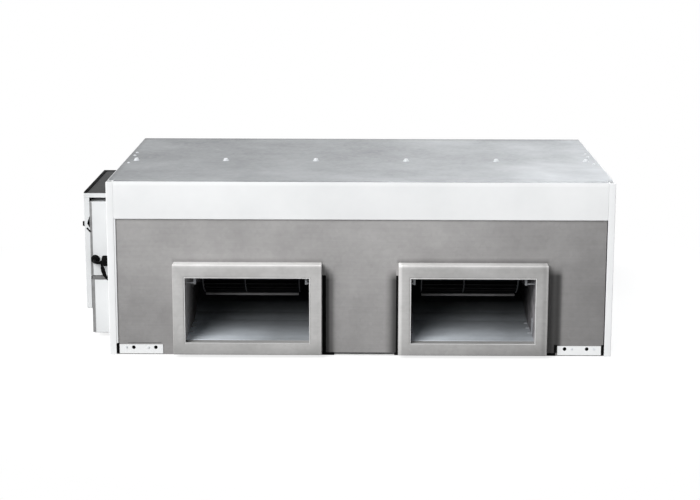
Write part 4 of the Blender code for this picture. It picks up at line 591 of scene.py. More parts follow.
def turned_into(shape, profile, place, steps):
    """Add a (radius, height) profile turned about the place's own Z."""
    line = [shape.verts.new((r, 0.0, h)) for r, h in profile]
    edges = [shape.edges.new(pair) for pair in zip(line, line[1:])]
    bmesh.ops.spin(
        shape, geom=line + edges, cent=(0, 0, 0), axis=(0, 0, 1), angle=2 * math.pi, steps=steps,
        use_merge=True,
    )
    fresh = set(line)
    frontier = list(line)
    while frontier:
        vert = frontier.pop()
        for edge in vert.link_edges:
            other = edge.other_vert(vert)
            if other not in fresh:
                fresh.add(other)
                frontier.append(other)
    made = list(fresh)
    poles = [v for v in made if math.hypot(v.co.x, v.co.y) < 1e-7]
    bmesh.ops.remove_doubles(shape, verts=poles, dist=1e-6)
    made = [v for v in made if v.is_valid]
    faces = list({face for vert in made for face in vert.link_faces})
    bmesh.ops.recalc_face_normals(shape, faces=faces)
    bmesh.ops.transform(shape, matrix=place, verts=made)


def along_x(x, y, z):
    """Own Z along X, at a place."""
    return Matrix.Translation((x, y, z)) @ Matrix.Rotation(math.pi / 2, 4, "Y")


def along_y(x, y, z):
    """Own Z along Y, at a place."""
    return Matrix.Translation((x, y, z)) @ Matrix.Rotation(-math.pi / 2, 4, "X")


TURN_OVER = Matrix.Rotation(math.pi, 4, "X")

# %% [markdown]
# ## Softened copies of the folded sheets
# Real sheet has no knife edges. The white parts and the collars are copied,
# their loose triangles merged, and every sharp edge is bevelled by less than
# half a millimetre, which gives the bright edge lines that folded sheet has.

# %% Softened sheets
EDGE_BREAK = 0.0004


def softened(node, body="cabinet"):
    """A merged and bevelled copy that stands for a solid."""
    shape = bmesh.new()
    shape.from_mesh(NODES[node].data)
    bmesh.ops.remove_doubles(shape, verts=shape.verts, dist=2e-6)
    bmesh.ops.dissolve_limit(
        shape, angle_limit=math.radians(0.5), verts=shape.verts, edges=shape.edges
    )
    sharp = [e for e in shape.edges if e.is_manifold and e.calc_face_angle(0.0) > math.radians(30)]
    break_edges(shape, sharp, EDGE_BREAK, clamp=True)
    finish = OWN_FINISH.get(node, FINISHES[SLOT_OF[node]])
    put(node + "_sheet", shape, finish, body, [node], 20.0, slot=SLOT_OF[node])


for node in (
    "left_side_panel", "right_side_panel", "front_top_rail", "left_supply_collar",
    "right_supply_collar", "front_left_foot_bracket", "front_right_foot_bracket",
    "rear_left_foot_bracket", "rear_right_foot_bracket", "control_box", "wiring_cover",
):
    softened(node)
softened("control_box_lid", "electrical_lid")

# %% [markdown]
# ## Blower wheels
# Each wheel is a drum of forty-two short blades that curve forwards, held by a
# ring at both ends and a disc in the middle. One blade is drawn as an arc,
# pulled to the wheel's length, given its thickness, and then turned into the
# other places, which is how a wheel is indexed on a press.

# %% Blower wheels
FAN_Y, FAN_Z = -0.190, 0.285
FAN_X = 0.324
WHEEL_RADIUS = 0.150
WHEEL_LENGTH = 0.288
BLADES = 42
BLADE_DEPTH = 0.025
BLADE_LEAN = math.radians(5.5)
BLADE_SHEET = 0.0009
DISC_X = -0.017
RING_ROOT = WHEEL_RADIUS - BLADE_DEPTH - 0.0035


def wheel_blades(shape):
    """One curved blade along X, then the rest by turning it."""
    tip = WHEEL_RADIUS - 0.0012
    steps = 5
    line = []
    for i in range(steps + 1):
        share = i / steps
        radius = tip - BLADE_DEPTH * (1 - share)
        angle = BLADE_LEAN * share**2
        place = (-WHEEL_LENGTH / 2 + 0.001, -radius * math.cos(angle), radius * math.sin(angle))
        line.append(shape.verts.new(place))
    edges = [shape.edges.new(pair) for pair in zip(line, line[1:])]
    grown = bmesh.ops.extrude_edge_only(shape, edges=edges)
    moved = [v for v in grown["geom"] if isinstance(v, bmesh.types.BMVert)]
    bmesh.ops.translate(shape, vec=(WHEEL_LENGTH - 0.002, 0, 0), verts=moved)
    bmesh.ops.recalc_face_normals(shape, faces=shape.faces)
    bmesh.ops.solidify(shape, geom=shape.faces[:], thickness=BLADE_SHEET)
    bmesh.ops.spin(
        shape, geom=shape.verts[:] + shape.edges[:] + shape.faces[:], cent=(0, 0, 0),
        axis=(1, 0, 0), angle=2 * math.pi * (BLADES - 1) / BLADES, steps=BLADES - 1,
        use_duplicate=True,
    )


def wheel_rings(shape):
    """A rolled ring at each end and the pressed disc with its hub."""
    half = WHEEL_LENGTH / 2
    for end in (-1, 1):
        ring = [
            (RING_ROOT, -0.0008), (WHEEL_RADIUS - 0.0012, -0.0008), (WHEEL_RADIUS, -0.0002),
            (WHEEL_RADIUS, 0.0014), (WHEEL_RADIUS - 0.0006, 0.0020), (RING_ROOT + 0.001, 0.0020),
            (RING_ROOT, 0.0012), (RING_ROOT, -0.0008),
        ]
        place = along_x(end * (half - 0.0020), 0, 0)
        if end < 0:
            place = place @ TURN_OVER
        turned_into(shape, ring, place, 84)
    disc = [
        (0.0105, 0.022), (0.027, 0.022), (0.028, 0.021), (0.028, 0.0022), (0.060, 0.0012),
        (0.066, 0.0035), (0.078, 0.0035), (0.084, 0.0010), (WHEEL_RADIUS - 0.0004, 0.0010),
        (WHEEL_RADIUS - 0.0004, -0.0010), (0.084, -0.0010), (0.078, 0.0015), (0.066, 0.0015),
        (0.060, -0.0010), (0.028, -0.0022), (0.028, -0.021), (0.027, -0.022), (0.0105, -0.022),
        (0.0105, 0.022),
    ]
    turned_into(shape, disc, along_x(DISC_X, 0, 0), 84)


for word, x in (("left", -FAN_X), ("right", FAN_X)):
    drum = bmesh.new()
    wheel_blades(drum)
    bmesh.ops.translate(drum, vec=(x, FAN_Y, FAN_Z), verts=drum.verts)
    wheel = [f"{word}_blower_wheel"]
    put(f"{word}_wheel_blades", drum, WHEEL_ZINC, "fan_rotor", wheel, slot=STEEL.name)
    hoops = bmesh.new()
    wheel_rings(hoops)
    bmesh.ops.translate(hoops, vec=(x, FAN_Y, FAN_Z), verts=hoops.verts)
    put(f"{word}_wheel_rings", hoops, RING_ZINC, "fan_rotor", slot=STEEL.name)

# %% [markdown]
# ## Routes of the two leads
# Two leads leave the electrical box through glands at its front, bend round
# and enter the cabinet through glands in its side: the motor's lead and a
# thinner sensor lead. The points are the same that the solids follow, so the
# leads stay inside the holes that were made for them.

# %% Routes of the two leads
HALF_W, HALF_D = 0.727, 0.440
FIT = 0.0003
BOX_SHEET = 0.0015
BOX_WALL = -HALF_W - FIT
BOX_FACE = BOX_WALL - 0.079 + FIT
BOX_Y0, BOX_Y1, BOX_Z0 = -0.240, 0.170, 0.190
BACK_WALL = BOX_WALL - BOX_SHEET - FIT
LARGE_X, SMALL_X = BOX_FACE + 0.0135, BOX_FACE + 0.034
LARGE_Z, SMALL_Z = 0.241, 0.230
SIDE_Y, SIDE_SMALL_Y, SIDE_SMALL_Z = BOX_Y0 - 0.054, BOX_Y0 - 0.046, 0.186
BOX_GLAND, SIDE_GLAND, SMALL_GLAND = 0.018, 0.036, 0.008
LARGE_NUT, SMALL_NUT = 0.0135, 0.008
MOTOR_LEAD, SENSOR_LEAD = 0.0042, 0.0036
BOX_ROOM = 0.020
BOARD_LONG, BOARD_TALL, BOARD_SHEET, BOARD_GAP = 0.200, 0.180, 0.0016, 0.012
BOARD_Y0, BOARD_Z0 = BOX_Y1 - BOX_ROOM - BOARD_LONG, BOX_Z0 + BOX_ROOM
BLOCK_LONG, BLOCK_TALL = 0.110, 0.030
BLOCK_Y0, BLOCK_TOP = BOX_Y0 + BOX_ROOM, BOARD_Z0 + BLOCK_TALL
COIL_TALL, COIL_TILT = 0.440, math.radians(20.0)
COIL_Y, COIL_Z, COIL_LEFT = 0.26, 0.272, -0.606
TERMINAL_X, TERMINAL_Z = -0.032 - FIT, FAN_Z + 0.080 + 0.013

large_box = along_y(LARGE_X, BOX_Y0, LARGE_Z) @ TURN_OVER
small_box = along_y(SMALL_X, BOX_Y0, SMALL_Z) @ TURN_OVER
large_side = along_x(-HALF_W, SIDE_Y, LARGE_Z) @ TURN_OVER
small_side = along_x(-HALF_W, SIDE_SMALL_Y, SIDE_SMALL_Z) @ TURN_OVER


def straight_in(place, length):
    """Four places on a gland's axis, so that the lead runs straight through it."""
    return [place @ Vector((0, 0, h)) for h in (-0.016, -0.008, length / 2, length + 0.002)]


LEAD_X, LEAD_Y = BACK_WALL - 0.011, BLOCK_Y0 + 0.88 * BLOCK_LONG
HIGH_Y, HIGH_Z = -HALF_D + 0.055, 0.440
motor_route = [
    (LEAD_X, LEAD_Y, BLOCK_TOP + FIT),
    (LEAD_X, LEAD_Y, BLOCK_TOP + 0.006),
    (LEAD_X - 0.010, LEAD_Y - 0.012, BLOCK_TOP + 0.016),
    (LARGE_X + 0.012, LEAD_Y - 0.045, BLOCK_TOP + 0.012),
    (LARGE_X + 0.002, BOX_Y0 + 0.030, LARGE_Z + 0.002),
    *straight_in(large_box, BOX_GLAND),
    (LARGE_X, BOX_Y0 - BOX_GLAND - 0.009, LARGE_Z),
    (LARGE_X + 0.0055, SIDE_Y + 0.007, LARGE_Z),
    (-HALF_W - SIDE_GLAND - 0.011, SIDE_Y, LARGE_Z),
    *straight_in(large_side, SIDE_GLAND)[::-1],
    (-HALF_W + 0.034, SIDE_Y, LARGE_Z + 0.006),
    (-HALF_W + 0.075, SIDE_Y - 0.030, LARGE_Z + 0.060),
    (-HALF_W + 0.115, HIGH_Y + 0.030, HIGH_Z - 0.060),
    (-HALF_W + 0.170, HIGH_Y, HIGH_Z),
    ((-HALF_W + TERMINAL_X) / 2 - 0.040, HIGH_Y, HIGH_Z + 0.004),
    (TERMINAL_X - 0.198, HIGH_Y, HIGH_Z),
    (TERMINAL_X - 0.103, HIGH_Y + 0.020, HIGH_Z - 0.010),
    (TERMINAL_X - 0.063, FAN_Y - 0.050, TERMINAL_Z + 0.030),
    (TERMINAL_X - 0.040, FAN_Y - 0.004, TERMINAL_Z + 0.004),
    (TERMINAL_X - 0.020, FAN_Y, TERMINAL_Z),
    (TERMINAL_X, FAN_Y, TERMINAL_Z),
]

bulb_x = COIL_LEFT - 0.001 - FIT
bulb_z = COIL_Z + 0.40 * COIL_TALL
bulb_y = COIL_Y + (bulb_z - COIL_Z) * math.tan(COIL_TILT) - 0.039
plug_y = BOARD_Y0 + 0.020 - FIT
plug_z = BOARD_Z0 + 0.020 + 0.012
plug_x = BACK_WALL - BOARD_GAP - BOARD_SHEET - 0.009
sensor_route = [
    (plug_x, plug_y, plug_z),
    (plug_x, plug_y - 0.008, plug_z),
    (SMALL_X + 0.006, plug_y - 0.045, plug_z - 0.008),
    (SMALL_X, BOX_Y0 + 0.070, SMALL_Z),
    (SMALL_X, BOX_Y0 + 0.030, SMALL_Z),
    *straight_in(small_box, SMALL_GLAND),
    (SMALL_X, BOX_Y0 - SMALL_GLAND - 0.008, SMALL_Z - 0.001),
    (SMALL_X + 0.004, BOX_Y0 - 0.030, SMALL_Z - 0.010),
    (SMALL_X + 0.014, SIDE_SMALL_Y + 0.003, SMALL_Z - 0.032),
    (-HALF_W - SMALL_GLAND - 0.011, SIDE_SMALL_Y, SIDE_SMALL_Z + 0.001),
    *straight_in(small_side, SMALL_GLAND)[::-1],
    (-HALF_W + 0.030, SIDE_SMALL_Y + 0.002, SIDE_SMALL_Z),
    (-HALF_W + 0.045, SIDE_SMALL_Y + 0.040, SIDE_SMALL_Z + 0.010),
    (-HALF_W + 0.045, BOX_Y0 + 0.060, SIDE_SMALL_Z + 0.060),
    (-HALF_W + 0.045, 0.000, 0.330),
    (-HALF_W + 0.050, 0.120, 0.400),
    (-HALF_W + 0.070, bulb_y - 0.030, bulb_z + 0.010),
    (bulb_x - 0.022, bulb_y, bulb_z),
    (bulb_x, bulb_y, bulb_z),
]
print("route points:", len(motor_route), len(sensor_route))


# %% [markdown]
# ## Leads
# A lead is one smooth curve through its route's points, swept with a round
# section. A short rubber sleeve swells round the thin lead where it shows.


# %% Leads
def smooth_line(points, count):
    """Places on a smooth curve through the points, count of them to a stretch."""
    ends = [2 * Vector(points[0]) - Vector(points[1])]
    ends += [Vector(p) for p in points]
    ends.append(2 * ends[-1] - ends[-2])
    line = []
    for a, b, c, d in zip(ends, ends[1:], ends[2:], ends[3:]):
        for i in range(count):
            t = i / count
            bend = (2 * a - 5 * b + 4 * c - d) * t * t + (3 * b - a - 3 * c + d) * t**3
            line.append(0.5 * (2 * b + (c - a) * t + bend))
    line.append(ends[-2])
    return line


def lead(name, points, radius, node):
    """A round lead swept along its route."""
    line = smooth_line(points, 5)
    curve = bpy.data.curves.new(name, "CURVE")
    curve.dimensions = "3D"
    curve.bevel_depth = radius
    curve.bevel_resolution = 4
    curve.use_fill_caps = True
    spline = curve.splines.new("POLY")
    spline.points.add(len(line) - 1)
    for point, place in zip(spline.points, line):
        point.co = (*place, 1.0)
    curve.materials.append(BLACK)
    made = bpy.data.objects.new(name, curve)
    bpy.context.scene.collection.objects.link(made)
    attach(made, "cabinet")
    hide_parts(node)


lead("motor_lead", motor_route, MOTOR_LEAD, "motor_cable")
lead("sensor_lead", sensor_route, SENSOR_LEAD, "sensor_cable")


def sleeve(name, line, radii):
    """A rubber sleeve round a lead: rings along the line, bridged and closed."""
    shape = bmesh.new()
    rings = []
    for i, (place, radius) in enumerate(zip(line, radii)):
        along = (line[min(i + 1, len(line) - 1)] - line[max(i - 1, 0)]).normalized()
        turned = Matrix.Translation(place) @ along.to_track_quat("Z", "X").to_matrix().to_4x4()
        made = bmesh.ops.create_circle(
            shape, cap_ends=False, radius=radius, segments=16, matrix=turned,
        )
        rings.append({edge for vert in made["verts"] for edge in vert.link_edges})
    for one, two in zip(rings, rings[1:]):
        bmesh.ops.bridge_loops(shape, edges=list(one | two))
    bmesh.ops.holes_fill(shape, edges=shape.edges, sides=16)
    bmesh.ops.recalc_face_normals(shape, faces=shape.faces)
    put(name, shape, RUBBER)


SLEEVE_ENDS, SLEEVE_MIDDLE = 0.0042, 0.0022
tail = [
    place
    for place in smooth_line(sensor_route, 5)
    if place.y < BOX_Y0 - 0.026 and 0.196 < place.z < SMALL_Z - 0.001 and place.x < -0.74
]
swell = [math.sin(math.pi * (i + 0.5) / len(tail)) for i in range(len(tail))]
sleeve("sensor_sleeve", tail, [SLEEVE_ENDS + SLEEVE_MIDDLE * share for share in swell])

# %% [markdown]
# ## Glands
# A gland is a hexagon body with a ribbed dome nut, which presses a soft lip on
# the lead. One turned profile and a prism make it, scaled by the gland's own
# radius and length. The large side gland also has a rubber boot, a little
# taller than it is wide.


# %% Glands
def gland(name, node, place, radius, length, cable):
    """A hexagon body, a ribbed dome nut and a soft lip round the lead."""
    shape = bmesh.new()
    bore = cable + 0.0002
    body = [
        (bore, -0.0015), (0.7 * radius, -0.0015), (0.7 * radius, FIT), (0.98 * radius, FIT),
        (0.98 * radius, 0.10 * length), (0.90 * radius, 0.14 * length),
        (0.90 * radius, 0.44 * length), (0.84 * radius, 0.48 * length),
        (0.74 * radius, 0.50 * length), (0.74 * radius, 0.86 * length),
        (0.62 * radius, 0.97 * length), (0.52 * radius, length), (bore, length), (bore, -0.0015),
    ]
    turned_into(shape, body, place, 24)
    prism_into(
        shape, place @ Matrix.Translation((0, 0, 0.29 * length)), 0.99 * radius, 0.28 * length,
    )
    put(name, shape, BLACK, stands_for=[node])


gland("large_box_gland_fitted", "box_gland_large", large_box, LARGE_NUT, BOX_GLAND, MOTOR_LEAD)
gland("small_box_gland_fitted", "box_gland_small", small_box, SMALL_NUT, SMALL_GLAND, SENSOR_LEAD)
gland("large_side_gland_fitted", "side_gland_large", large_side, LARGE_NUT, SIDE_GLAND, MOTOR_LEAD)
boot = bmesh.new()
hood = [
    (0.0060, -0.004), (0.0100, -0.003), (0.0112, 0.002), (0.0112, 0.010), (0.0094, 0.0145),
    (0.0050, 0.0155), (0.0044, 0.0150), (0.0044, -0.004), (0.0060, -0.004),
]
BOOT_X, BOOT_LIFT, BOOT_STRETCH = -0.7500, 0.0085, 1.22
tall_boot = along_x(BOOT_X, SIDE_Y, LARGE_Z + BOOT_LIFT) @ TURN_OVER
tall_boot = tall_boot @ Matrix.Diagonal((BOOT_STRETCH, 1.0, 1.0, 1.0))
turned_into(boot, hood, tall_boot, 24)
put("side_gland_boot", boot, RUBBER)
gland(
    "small_side_gland_fitted", "side_gland_small", small_side, SMALL_NUT, SMALL_GLAND, SENSOR_LEAD,
)

# %% [markdown]
# ## Screws
# Sheet is held with self-drilling screws: a washer face and a hexagon head.
# One screw has a few dozen faces, because there are many of them, and each
# group of screws is one piece.

# %% Screws
SCREW_HEAD, SMALL_HEAD = 0.0042, 0.0036
FLAT_HEAD = 0.25


def screw_into(shape, place, size=SCREW_HEAD, tall=0.6):
    """A washer and a hexagon head that narrows, on the place's own XY plane."""
    washer = [(0.0, 0.0006), (1.35 * size, 0.0006), (1.5 * size, 0.0003), (1.5 * size, 0.0)]
    turned_into(shape, washer, place, 16)
    head = place @ Matrix.Translation((0, 0, 0.0006 + tall / 2 * size))
    prism_into(shape, head, size, tall * size, 6, 0.94 * size)


def screws(name, places, size=SCREW_HEAD, tall=0.6):
    """A group of screws as one piece."""
    shape = bmesh.new()
    for place in places:
        screw_into(shape, place, size, tall)
    put(name, shape, SCREW_ZINC, slot=STEEL.name)


# %% [markdown]
# ## Screws and lap of the cabinet
# Six domed screws hold the top sheet, and rows of small ones close its edges,
# the sides and the rear. facing() turns a place towards one side, so that a
# screw is set by its position alone. A thin grey lap, the top sheet's own edge,
# covers the white rail's return.

# %% Screws on the cabinet
TOP_Z = 0.510
TOP_SCREW_Y = -0.045
LAP_HEIGHT = 0.0006


def facing(x, y, z, way):
    """A place whose own Z looks left, right, front, rear or up."""
    turns = {
        "right": Matrix.Rotation(math.pi / 2, 4, "Y"),
        "left": Matrix.Rotation(-math.pi / 2, 4, "Y"),
        "front": Matrix.Rotation(math.pi / 2, 4, "X"),
        "rear": Matrix.Rotation(-math.pi / 2, 4, "X"), "up": Matrix.Identity(4),
    }
    return Matrix.Translation((x, y, z)) @ turns[way]


domes = bmesh.new()
DOME = [
    (0.0, 0.0084), (0.0028, 0.0082), (0.0051, 0.0071), (0.0067, 0.0051), (0.0075, 0.0026),
    (0.0076, 0.0007), (0.0096, 0.0006), (0.0100, 0.0),
]
for x in (-0.688, -0.414, -0.138, 0.138, 0.414, 0.688):
    turned_into(domes, DOME, facing(x, TOP_SCREW_Y, TOP_Z, "up"), 24)
put("top_screws", domes, SCREW_ZINC, slot=STEEL.name)
rail_low, rail_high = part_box("front_top_rail")
lap_low = (rail_low.x + 0.0015, rail_low.y + 0.0007, TOP_Z)
lap_high = (rail_high.x - 0.0015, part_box("top_panel")[0].y, TOP_Z + LAP_HEIGHT)
put_blocks("top_sheet_lap", TOP_ZINC, [(lap_low, lap_high, 0.0002)], slot=ZINC.name)
screws(
    "top_edge_screws",
    [facing(side * 0.706, y, TOP_Z, "up") for side in (-1, 1) for y in (-0.10, 0.05, 0.11)],
    size=SMALL_HEAD,
)
SIDE_ROWS = [(y, z) for y in (-0.425, 0.425) for z in (0.06, 0.25, 0.44)]
screws(
    "right_side_screws",
    [facing(HALF_W, y, z, "right") for y, z in SIDE_ROWS]
    + [facing(HALF_W, y, z, "right") for y in (-0.26, 0.0, 0.26) for z in (0.016, 0.494)],
    tall=FLAT_HEAD,
)
screws(
    "left_side_screws",
    [facing(-HALF_W, y, z, "left") for y, z in SIDE_ROWS]
    + [facing(-HALF_W, y, 0.494, "left") for y in (-0.26, 0.0, 0.26)]
    + [facing(-HALF_W, y, 0.016, "left") for y in (-0.30, 0.30)],
    tall=FLAT_HEAD,
)
screws(
    "rear_screws",
    [facing(x, HALF_D, 0.495, "rear") for x in (-0.60, -0.30, 0.0, 0.30, 0.60)]
    + [facing(side * 0.697, HALF_D, z, "rear") for side in (-1, 1) for z in (0.12, 0.38)],
    size=SMALL_HEAD,
)


# %% [markdown]
# ## Feet
# Each foot bracket has two holes for the hanger bolts and two small screws that
# hold it. The holes look black, because they open into the cabinet, so a dark
# rubber disc in each of them is painted shade.

# %% Feet
FOOT_HOLES = (0.657, 0.593)
FOOT_SCREWS = (0.678, 0.614)
FOOT_HOLE_Z = 0.0215
FOOT_FRONT, FOOT_REAR = -0.4373, 0.4423
# Painted shade: a dark disc in each hole, where the cabinet behind is dark.
hole_shades = bmesh.new()
HOLE_SHADE = [(0.0, 0.0004), (0.0035, 0.0004), (0.0041, 0.0012), (0.0053, 0.0014), (0.0053, 0.0001)]
for x in FOOT_HOLES:
    for side in (-1, 1):
        turned_into(hole_shades, HOLE_SHADE, facing(side * x, FOOT_FRONT + 0.0020, FOOT_HOLE_Z, "front"), 20)
        turned_into(hole_shades, HOLE_SHADE, facing(side * x, FOOT_REAR - 0.0020, FOOT_HOLE_Z, "rear"), 20)
put("bracket_hole_shades", hole_shades, RUBBER)
screws(
    "foot_bracket_screws",
    [facing(side * x, FOOT_FRONT, FOOT_HOLE_Z, "front") for x in FOOT_SCREWS for side in (-1, 1)]
    + [facing(side * x, FOOT_REAR, FOOT_HOLE_Z, "rear") for x in FOOT_SCREWS for side in (-1, 1)],
    size=0.0026,
)

# %% [markdown]
# ## Painted shadow lines and sill
# Black and grey strips are painted shadow in the gaps beside the feet and both
# collars, above the left foot and under the front sheet between the collars. A
# folded hem ends the front sheet between the collars. They are thin flat blocks
# that lie on the front sheet, because in the portrait they are only lines.

# %% Painted shadow lines and sill
SHEET_Y = -0.4350
STRIP_Y = SHEET_Y - 0.0003
STRIP_LOW, COLLAR_TOP = 0.0086, 0.2746


def on_front(x0, x1, y, z0, z1, bevel):
    """A block that lies on the front sheet, with its own face at y."""
    return (min(x0, x1), y, z0), (max(x0, x1), SHEET_Y, z1), bevel


# Painted shadow: black strips in the gaps beside the feet, beside the collars and under the
# sheet's lower edge.
shadow_strips = []
for side in (-1, 1):
    shadow_strips.append(on_front(side * 0.6990, side * 0.7062, -0.4366, 0.003, 0.0335, 0.0003))
for x, wide in ((-0.1095, 0.011), (0.1095, -0.006)):
    shadow_strips.append(on_front(x, x + wide, -0.4362, 0.0035, 0.237, 0.0005))
for x0, x1 in ((-0.1095, -0.0745), (0.5386, 0.5664), (0.1000, 0.1095)):
    shadow_strips.append(on_front(x0, x1, -0.4364, 0.0004, STRIP_LOW, 0.0004))
shadow_strips.append(on_front(0.5622, 0.5666, -0.4381, 0.0100, 0.0330, 0.0004))
shadow_strips.append(((0.5666, -0.4381, 0.0130), (0.5706, -0.4374, 0.0335), 0.0003))
put_blocks("front_shadow_strips", RUBBER, shadow_strips)
# Painted shadow: a grey line above the left foot.
foot_line = on_front(-0.6737, -0.5766, -0.4358, 0.0342, 0.0358, 0.0003)
put_blocks("foot_shadow_line", SLOT_GREY, [foot_line], slot=RUBBER.name)
# Painted shadow: a dark line under the front sheet between the collars.
sill_line = on_front(-0.0745, 0.1000, -0.4359, 0.0036, 0.0082, 0.0003)
put_blocks("sill_shadow_line", LINE_GREY, [sill_line], slot=RUBBER.name)
sill = on_front(-0.0740, 0.0995, -0.4368, 0.0002, 0.0034, 0.0004)
put_blocks("sill_hem", HEM_ZINC, [sill], slot=ZINC.name)

# %% [markdown]
# ## Shade beside the collars
# Beside and above each collar the front sheet is darker, where the collar keeps
# the light away: painted shade. Thin strips with the sheet's own finish carry
# that painted shade. Painted on the whole sheet it would cross the collars as well.


# %% Strips beside and above the collars
def painted_shade_strip(name, stops, share, bottom=STRIP_LOW):
    """A strip of the front sheet with painted shade, darker along X by a share along Z."""
    shade_finish = zinc_sheet(name + "_sheet", *FRONT_TONES, painted_shade=(stops, share))
    gleam(SHEET_GLEAM, shade_finish)
    block = (stops[0][0], STRIP_Y, bottom), (stops[-1][0], SHEET_Y, share[-1][0])
    put_blocks(name, shade_finish, [block], slot=FRONT_ZINC.name)


# Painted shadow beside the collars, fading out at the top.
SOFT_TOP = ((0.2230, 1.0), (0.2400, 0.55), (0.2565, 0.0))
painted_shade_strip(
    "left_collar_strip",
    (
        (-0.0985, 0.19), (-0.0959, 0.16), (-0.0930, 0.14), (-0.0901, 0.28), (-0.0873, 0.45),
        (-0.0815, 0.48), (-0.0786, 0.62), (-0.0757, 0.81), (-0.0700, 1.0),
    ),
    SOFT_TOP,
)
painted_shade_strip(
    "middle_collar_strip",
    (
        (0.0700, 1.0), (0.0746, 0.92), (0.0804, 0.77), (0.0861, 0.58), (0.0890, 0.47),
        (0.0919, 0.36), (0.0948, 0.27), (0.0977, 0.20), (0.1035, 0.15),
    ),
    SOFT_TOP,
)
painted_shade_strip(
    "right_collar_strip",
    (
        (0.5386, 0.44), (0.5460, 0.42), (0.5482, 0.37), (0.5511, 0.27), (0.5569, 0.31),
        (0.5597, 0.32), (0.5655, 0.235), (0.5684, 0.19), (0.5713, 0.20), (0.5742, 0.26),
        (0.5771, 0.37), (0.5800, 0.55), (0.5829, 0.84), (0.5880, 1.0),
    ),
    ((0.2378, 1.0), (0.2450, 0.62), (0.2560, 0.22), (0.2744, 0.0)),
)
# Painted shade just above each collar.
for word, x, level in (("left", -FAN_X, 0.72), ("right", FAN_X, 0.62)):
    painted_shade_strip(
        word + "_collar_shade",
        ((x - 0.222, 1.0), (x - 0.2145, level), (x + 0.2145, level), (x + 0.222, 1.0)),
        ((COLLAR_TOP, 1.0), (0.2790, 0.9), (0.2850, 0.4), (0.2905, 0.0)), COLLAR_TOP,
    )

post_edge = on_front(-0.7072, -0.7015, -0.4385, 0.034, 0.3998, 0.0006)
put_blocks("left_post_edge", WHITE, [post_edge])

# %% [markdown]
# ## Inside the outlets
# The scroll's side plates are held to its wrap by small folded tabs, and a
# light clip holds the collar at each upper corner. They catch the light against
# the dark, so the eye finds them although they are small. A rounded lip ends
# each scroll just under its wheel.

# %% Clips and lips in the outlets
OUTLET_HALF, OUTLET_TOP = 0.181, 0.2385
CLIP_Y, CLIP_Z, TAB_Z = -0.4312, 0.2125, 0.0448
clips = bmesh.new()
for x in (-FAN_X, FAN_X):
    for side in (-1, 1):
        wall = x + side * (OUTLET_HALF - 0.0004)
        arm = 0.027 if (x < 0) == (side < 0) else 0.013
        low, high = sorted((wall, wall - side * arm))
        block_into(
            clips, (low, CLIP_Y, CLIP_Z - 0.0018), (high, CLIP_Y + 0.0016, CLIP_Z + 0.0018),
            0.0005,
        )
        low, high = sorted((wall - side * (arm - 0.004), wall - side * (arm + 0.003)))
        block_into(
            clips, (low, CLIP_Y, CLIP_Z - 0.004), (high, CLIP_Y + 0.0014, CLIP_Z + 0.014), 0.0006,
        )
        hem = (wall - side * 0.0002, wall - side * 0.0022)
        block_into(clips, (min(hem), -0.376, 0.048), (max(hem), -0.362, 0.098), 0.0005)
        low, high = sorted((wall, wall - side * 0.011))
        for y in (-0.345, -0.285, -0.225):
            tab = (low, y, TAB_Z - 0.001), (high, y + 0.006, TAB_Z + 0.0012)
            block_into(clips, *tab, 0.0004)
put("outlet_clips", clips, ZINC)

# The lips take the dark zinc: painted shade inside the outlet.
lips = bmesh.new()
LIP_REACH, LIP_ANGLE = WHEEL_RADIUS + 0.0052, math.radians(12)
lip_y = FAN_Y - LIP_REACH * math.sin(LIP_ANGLE)
lip_z = FAN_Z - LIP_REACH * math.cos(LIP_ANGLE)
for x in (-FAN_X, FAN_X):
    block_into(
        lips, (x - 0.141, lip_y - 0.004, lip_z - 0.0042),
        (x + 0.139, lip_y + 0.004, lip_z + 0.0026), 0.0010,
    )
put("scroll_lips", lips, LIP_ZINC, slot=ZINC.name)

# %% [markdown]
# ## Hems round the outlets
# The collar's throat ends in a folded hem, painted paler than the collar: a
# painted highlight at its bend. Four rounded strips lie just inside each opening,
# their faces level with the collar's.

# %% Outlet hems
HEM = 0.0030
HEM_FRONT, HEM_BACK, HEM_LOW = -0.4758, -0.4690, 0.043
hems = bmesh.new()
for x in (-FAN_X, FAN_X):
    x0, x1 = x - OUTLET_HALF, x + OUTLET_HALF
    z0, z1 = HEM_LOW, OUTLET_TOP
    y0, y1 = HEM_FRONT + 0.0001, HEM_BACK - 0.0001
    for low, high in (
        ((x0, HEM_FRONT, z1 - HEM), (x1, HEM_BACK, z1)),
        ((x0, HEM_FRONT, z0), (x1, HEM_BACK, z0 + 0.8 * HEM)),
        ((x0, y0, z0 + 0.0005), (x0 + HEM, y1, z1 - 0.0005)),
        ((x1 - HEM, y0, z0 + 0.0005), (x1, y1, z1 - 0.0005)),
    ):
        block_into(hems, low, high, 0.0011, 3)
put("outlet_hems", hems, HEM_ZINC, slot=COLLAR_ZINC.name)

# %% [markdown]
# ## The lid's edge
# A soft rubber bulb runs along the outer and rear edge of the lid's roof, and a
# black keeper shows through the finger notch in its front fold. The notch is not
# cut: a grey plate draws it, painted shade. All three ride on the lid, so they
# swing with it. Grey strips in the slits of the box and of the cover below it
# are painted shadow, and those stay on the cabinet.

# %% Lid edge, notch and painted slit shadows
LID_X0, LID_FRONT, LID_REAR = -0.8223, -0.2415, 0.1715
BULB = 0.0105
BULB_LOW, BULB_HIGH = 0.4413, 0.4449
bulbs = [
    ((LID_X0 + 0.0003, y, BULB_LOW), (x, far, BULB_HIGH), 0.0012, 3)
    for y, x, far in (
        (LID_FRONT, LID_X0 + BULB, LID_REAR), (LID_REAR - BULB, -0.7283, LID_REAR - 0.0003),
    )
]
put_blocks("lid_edge_bulb", RUBBER, bulbs, body="electrical_lid", stands_for=["lid_edge_trim"])

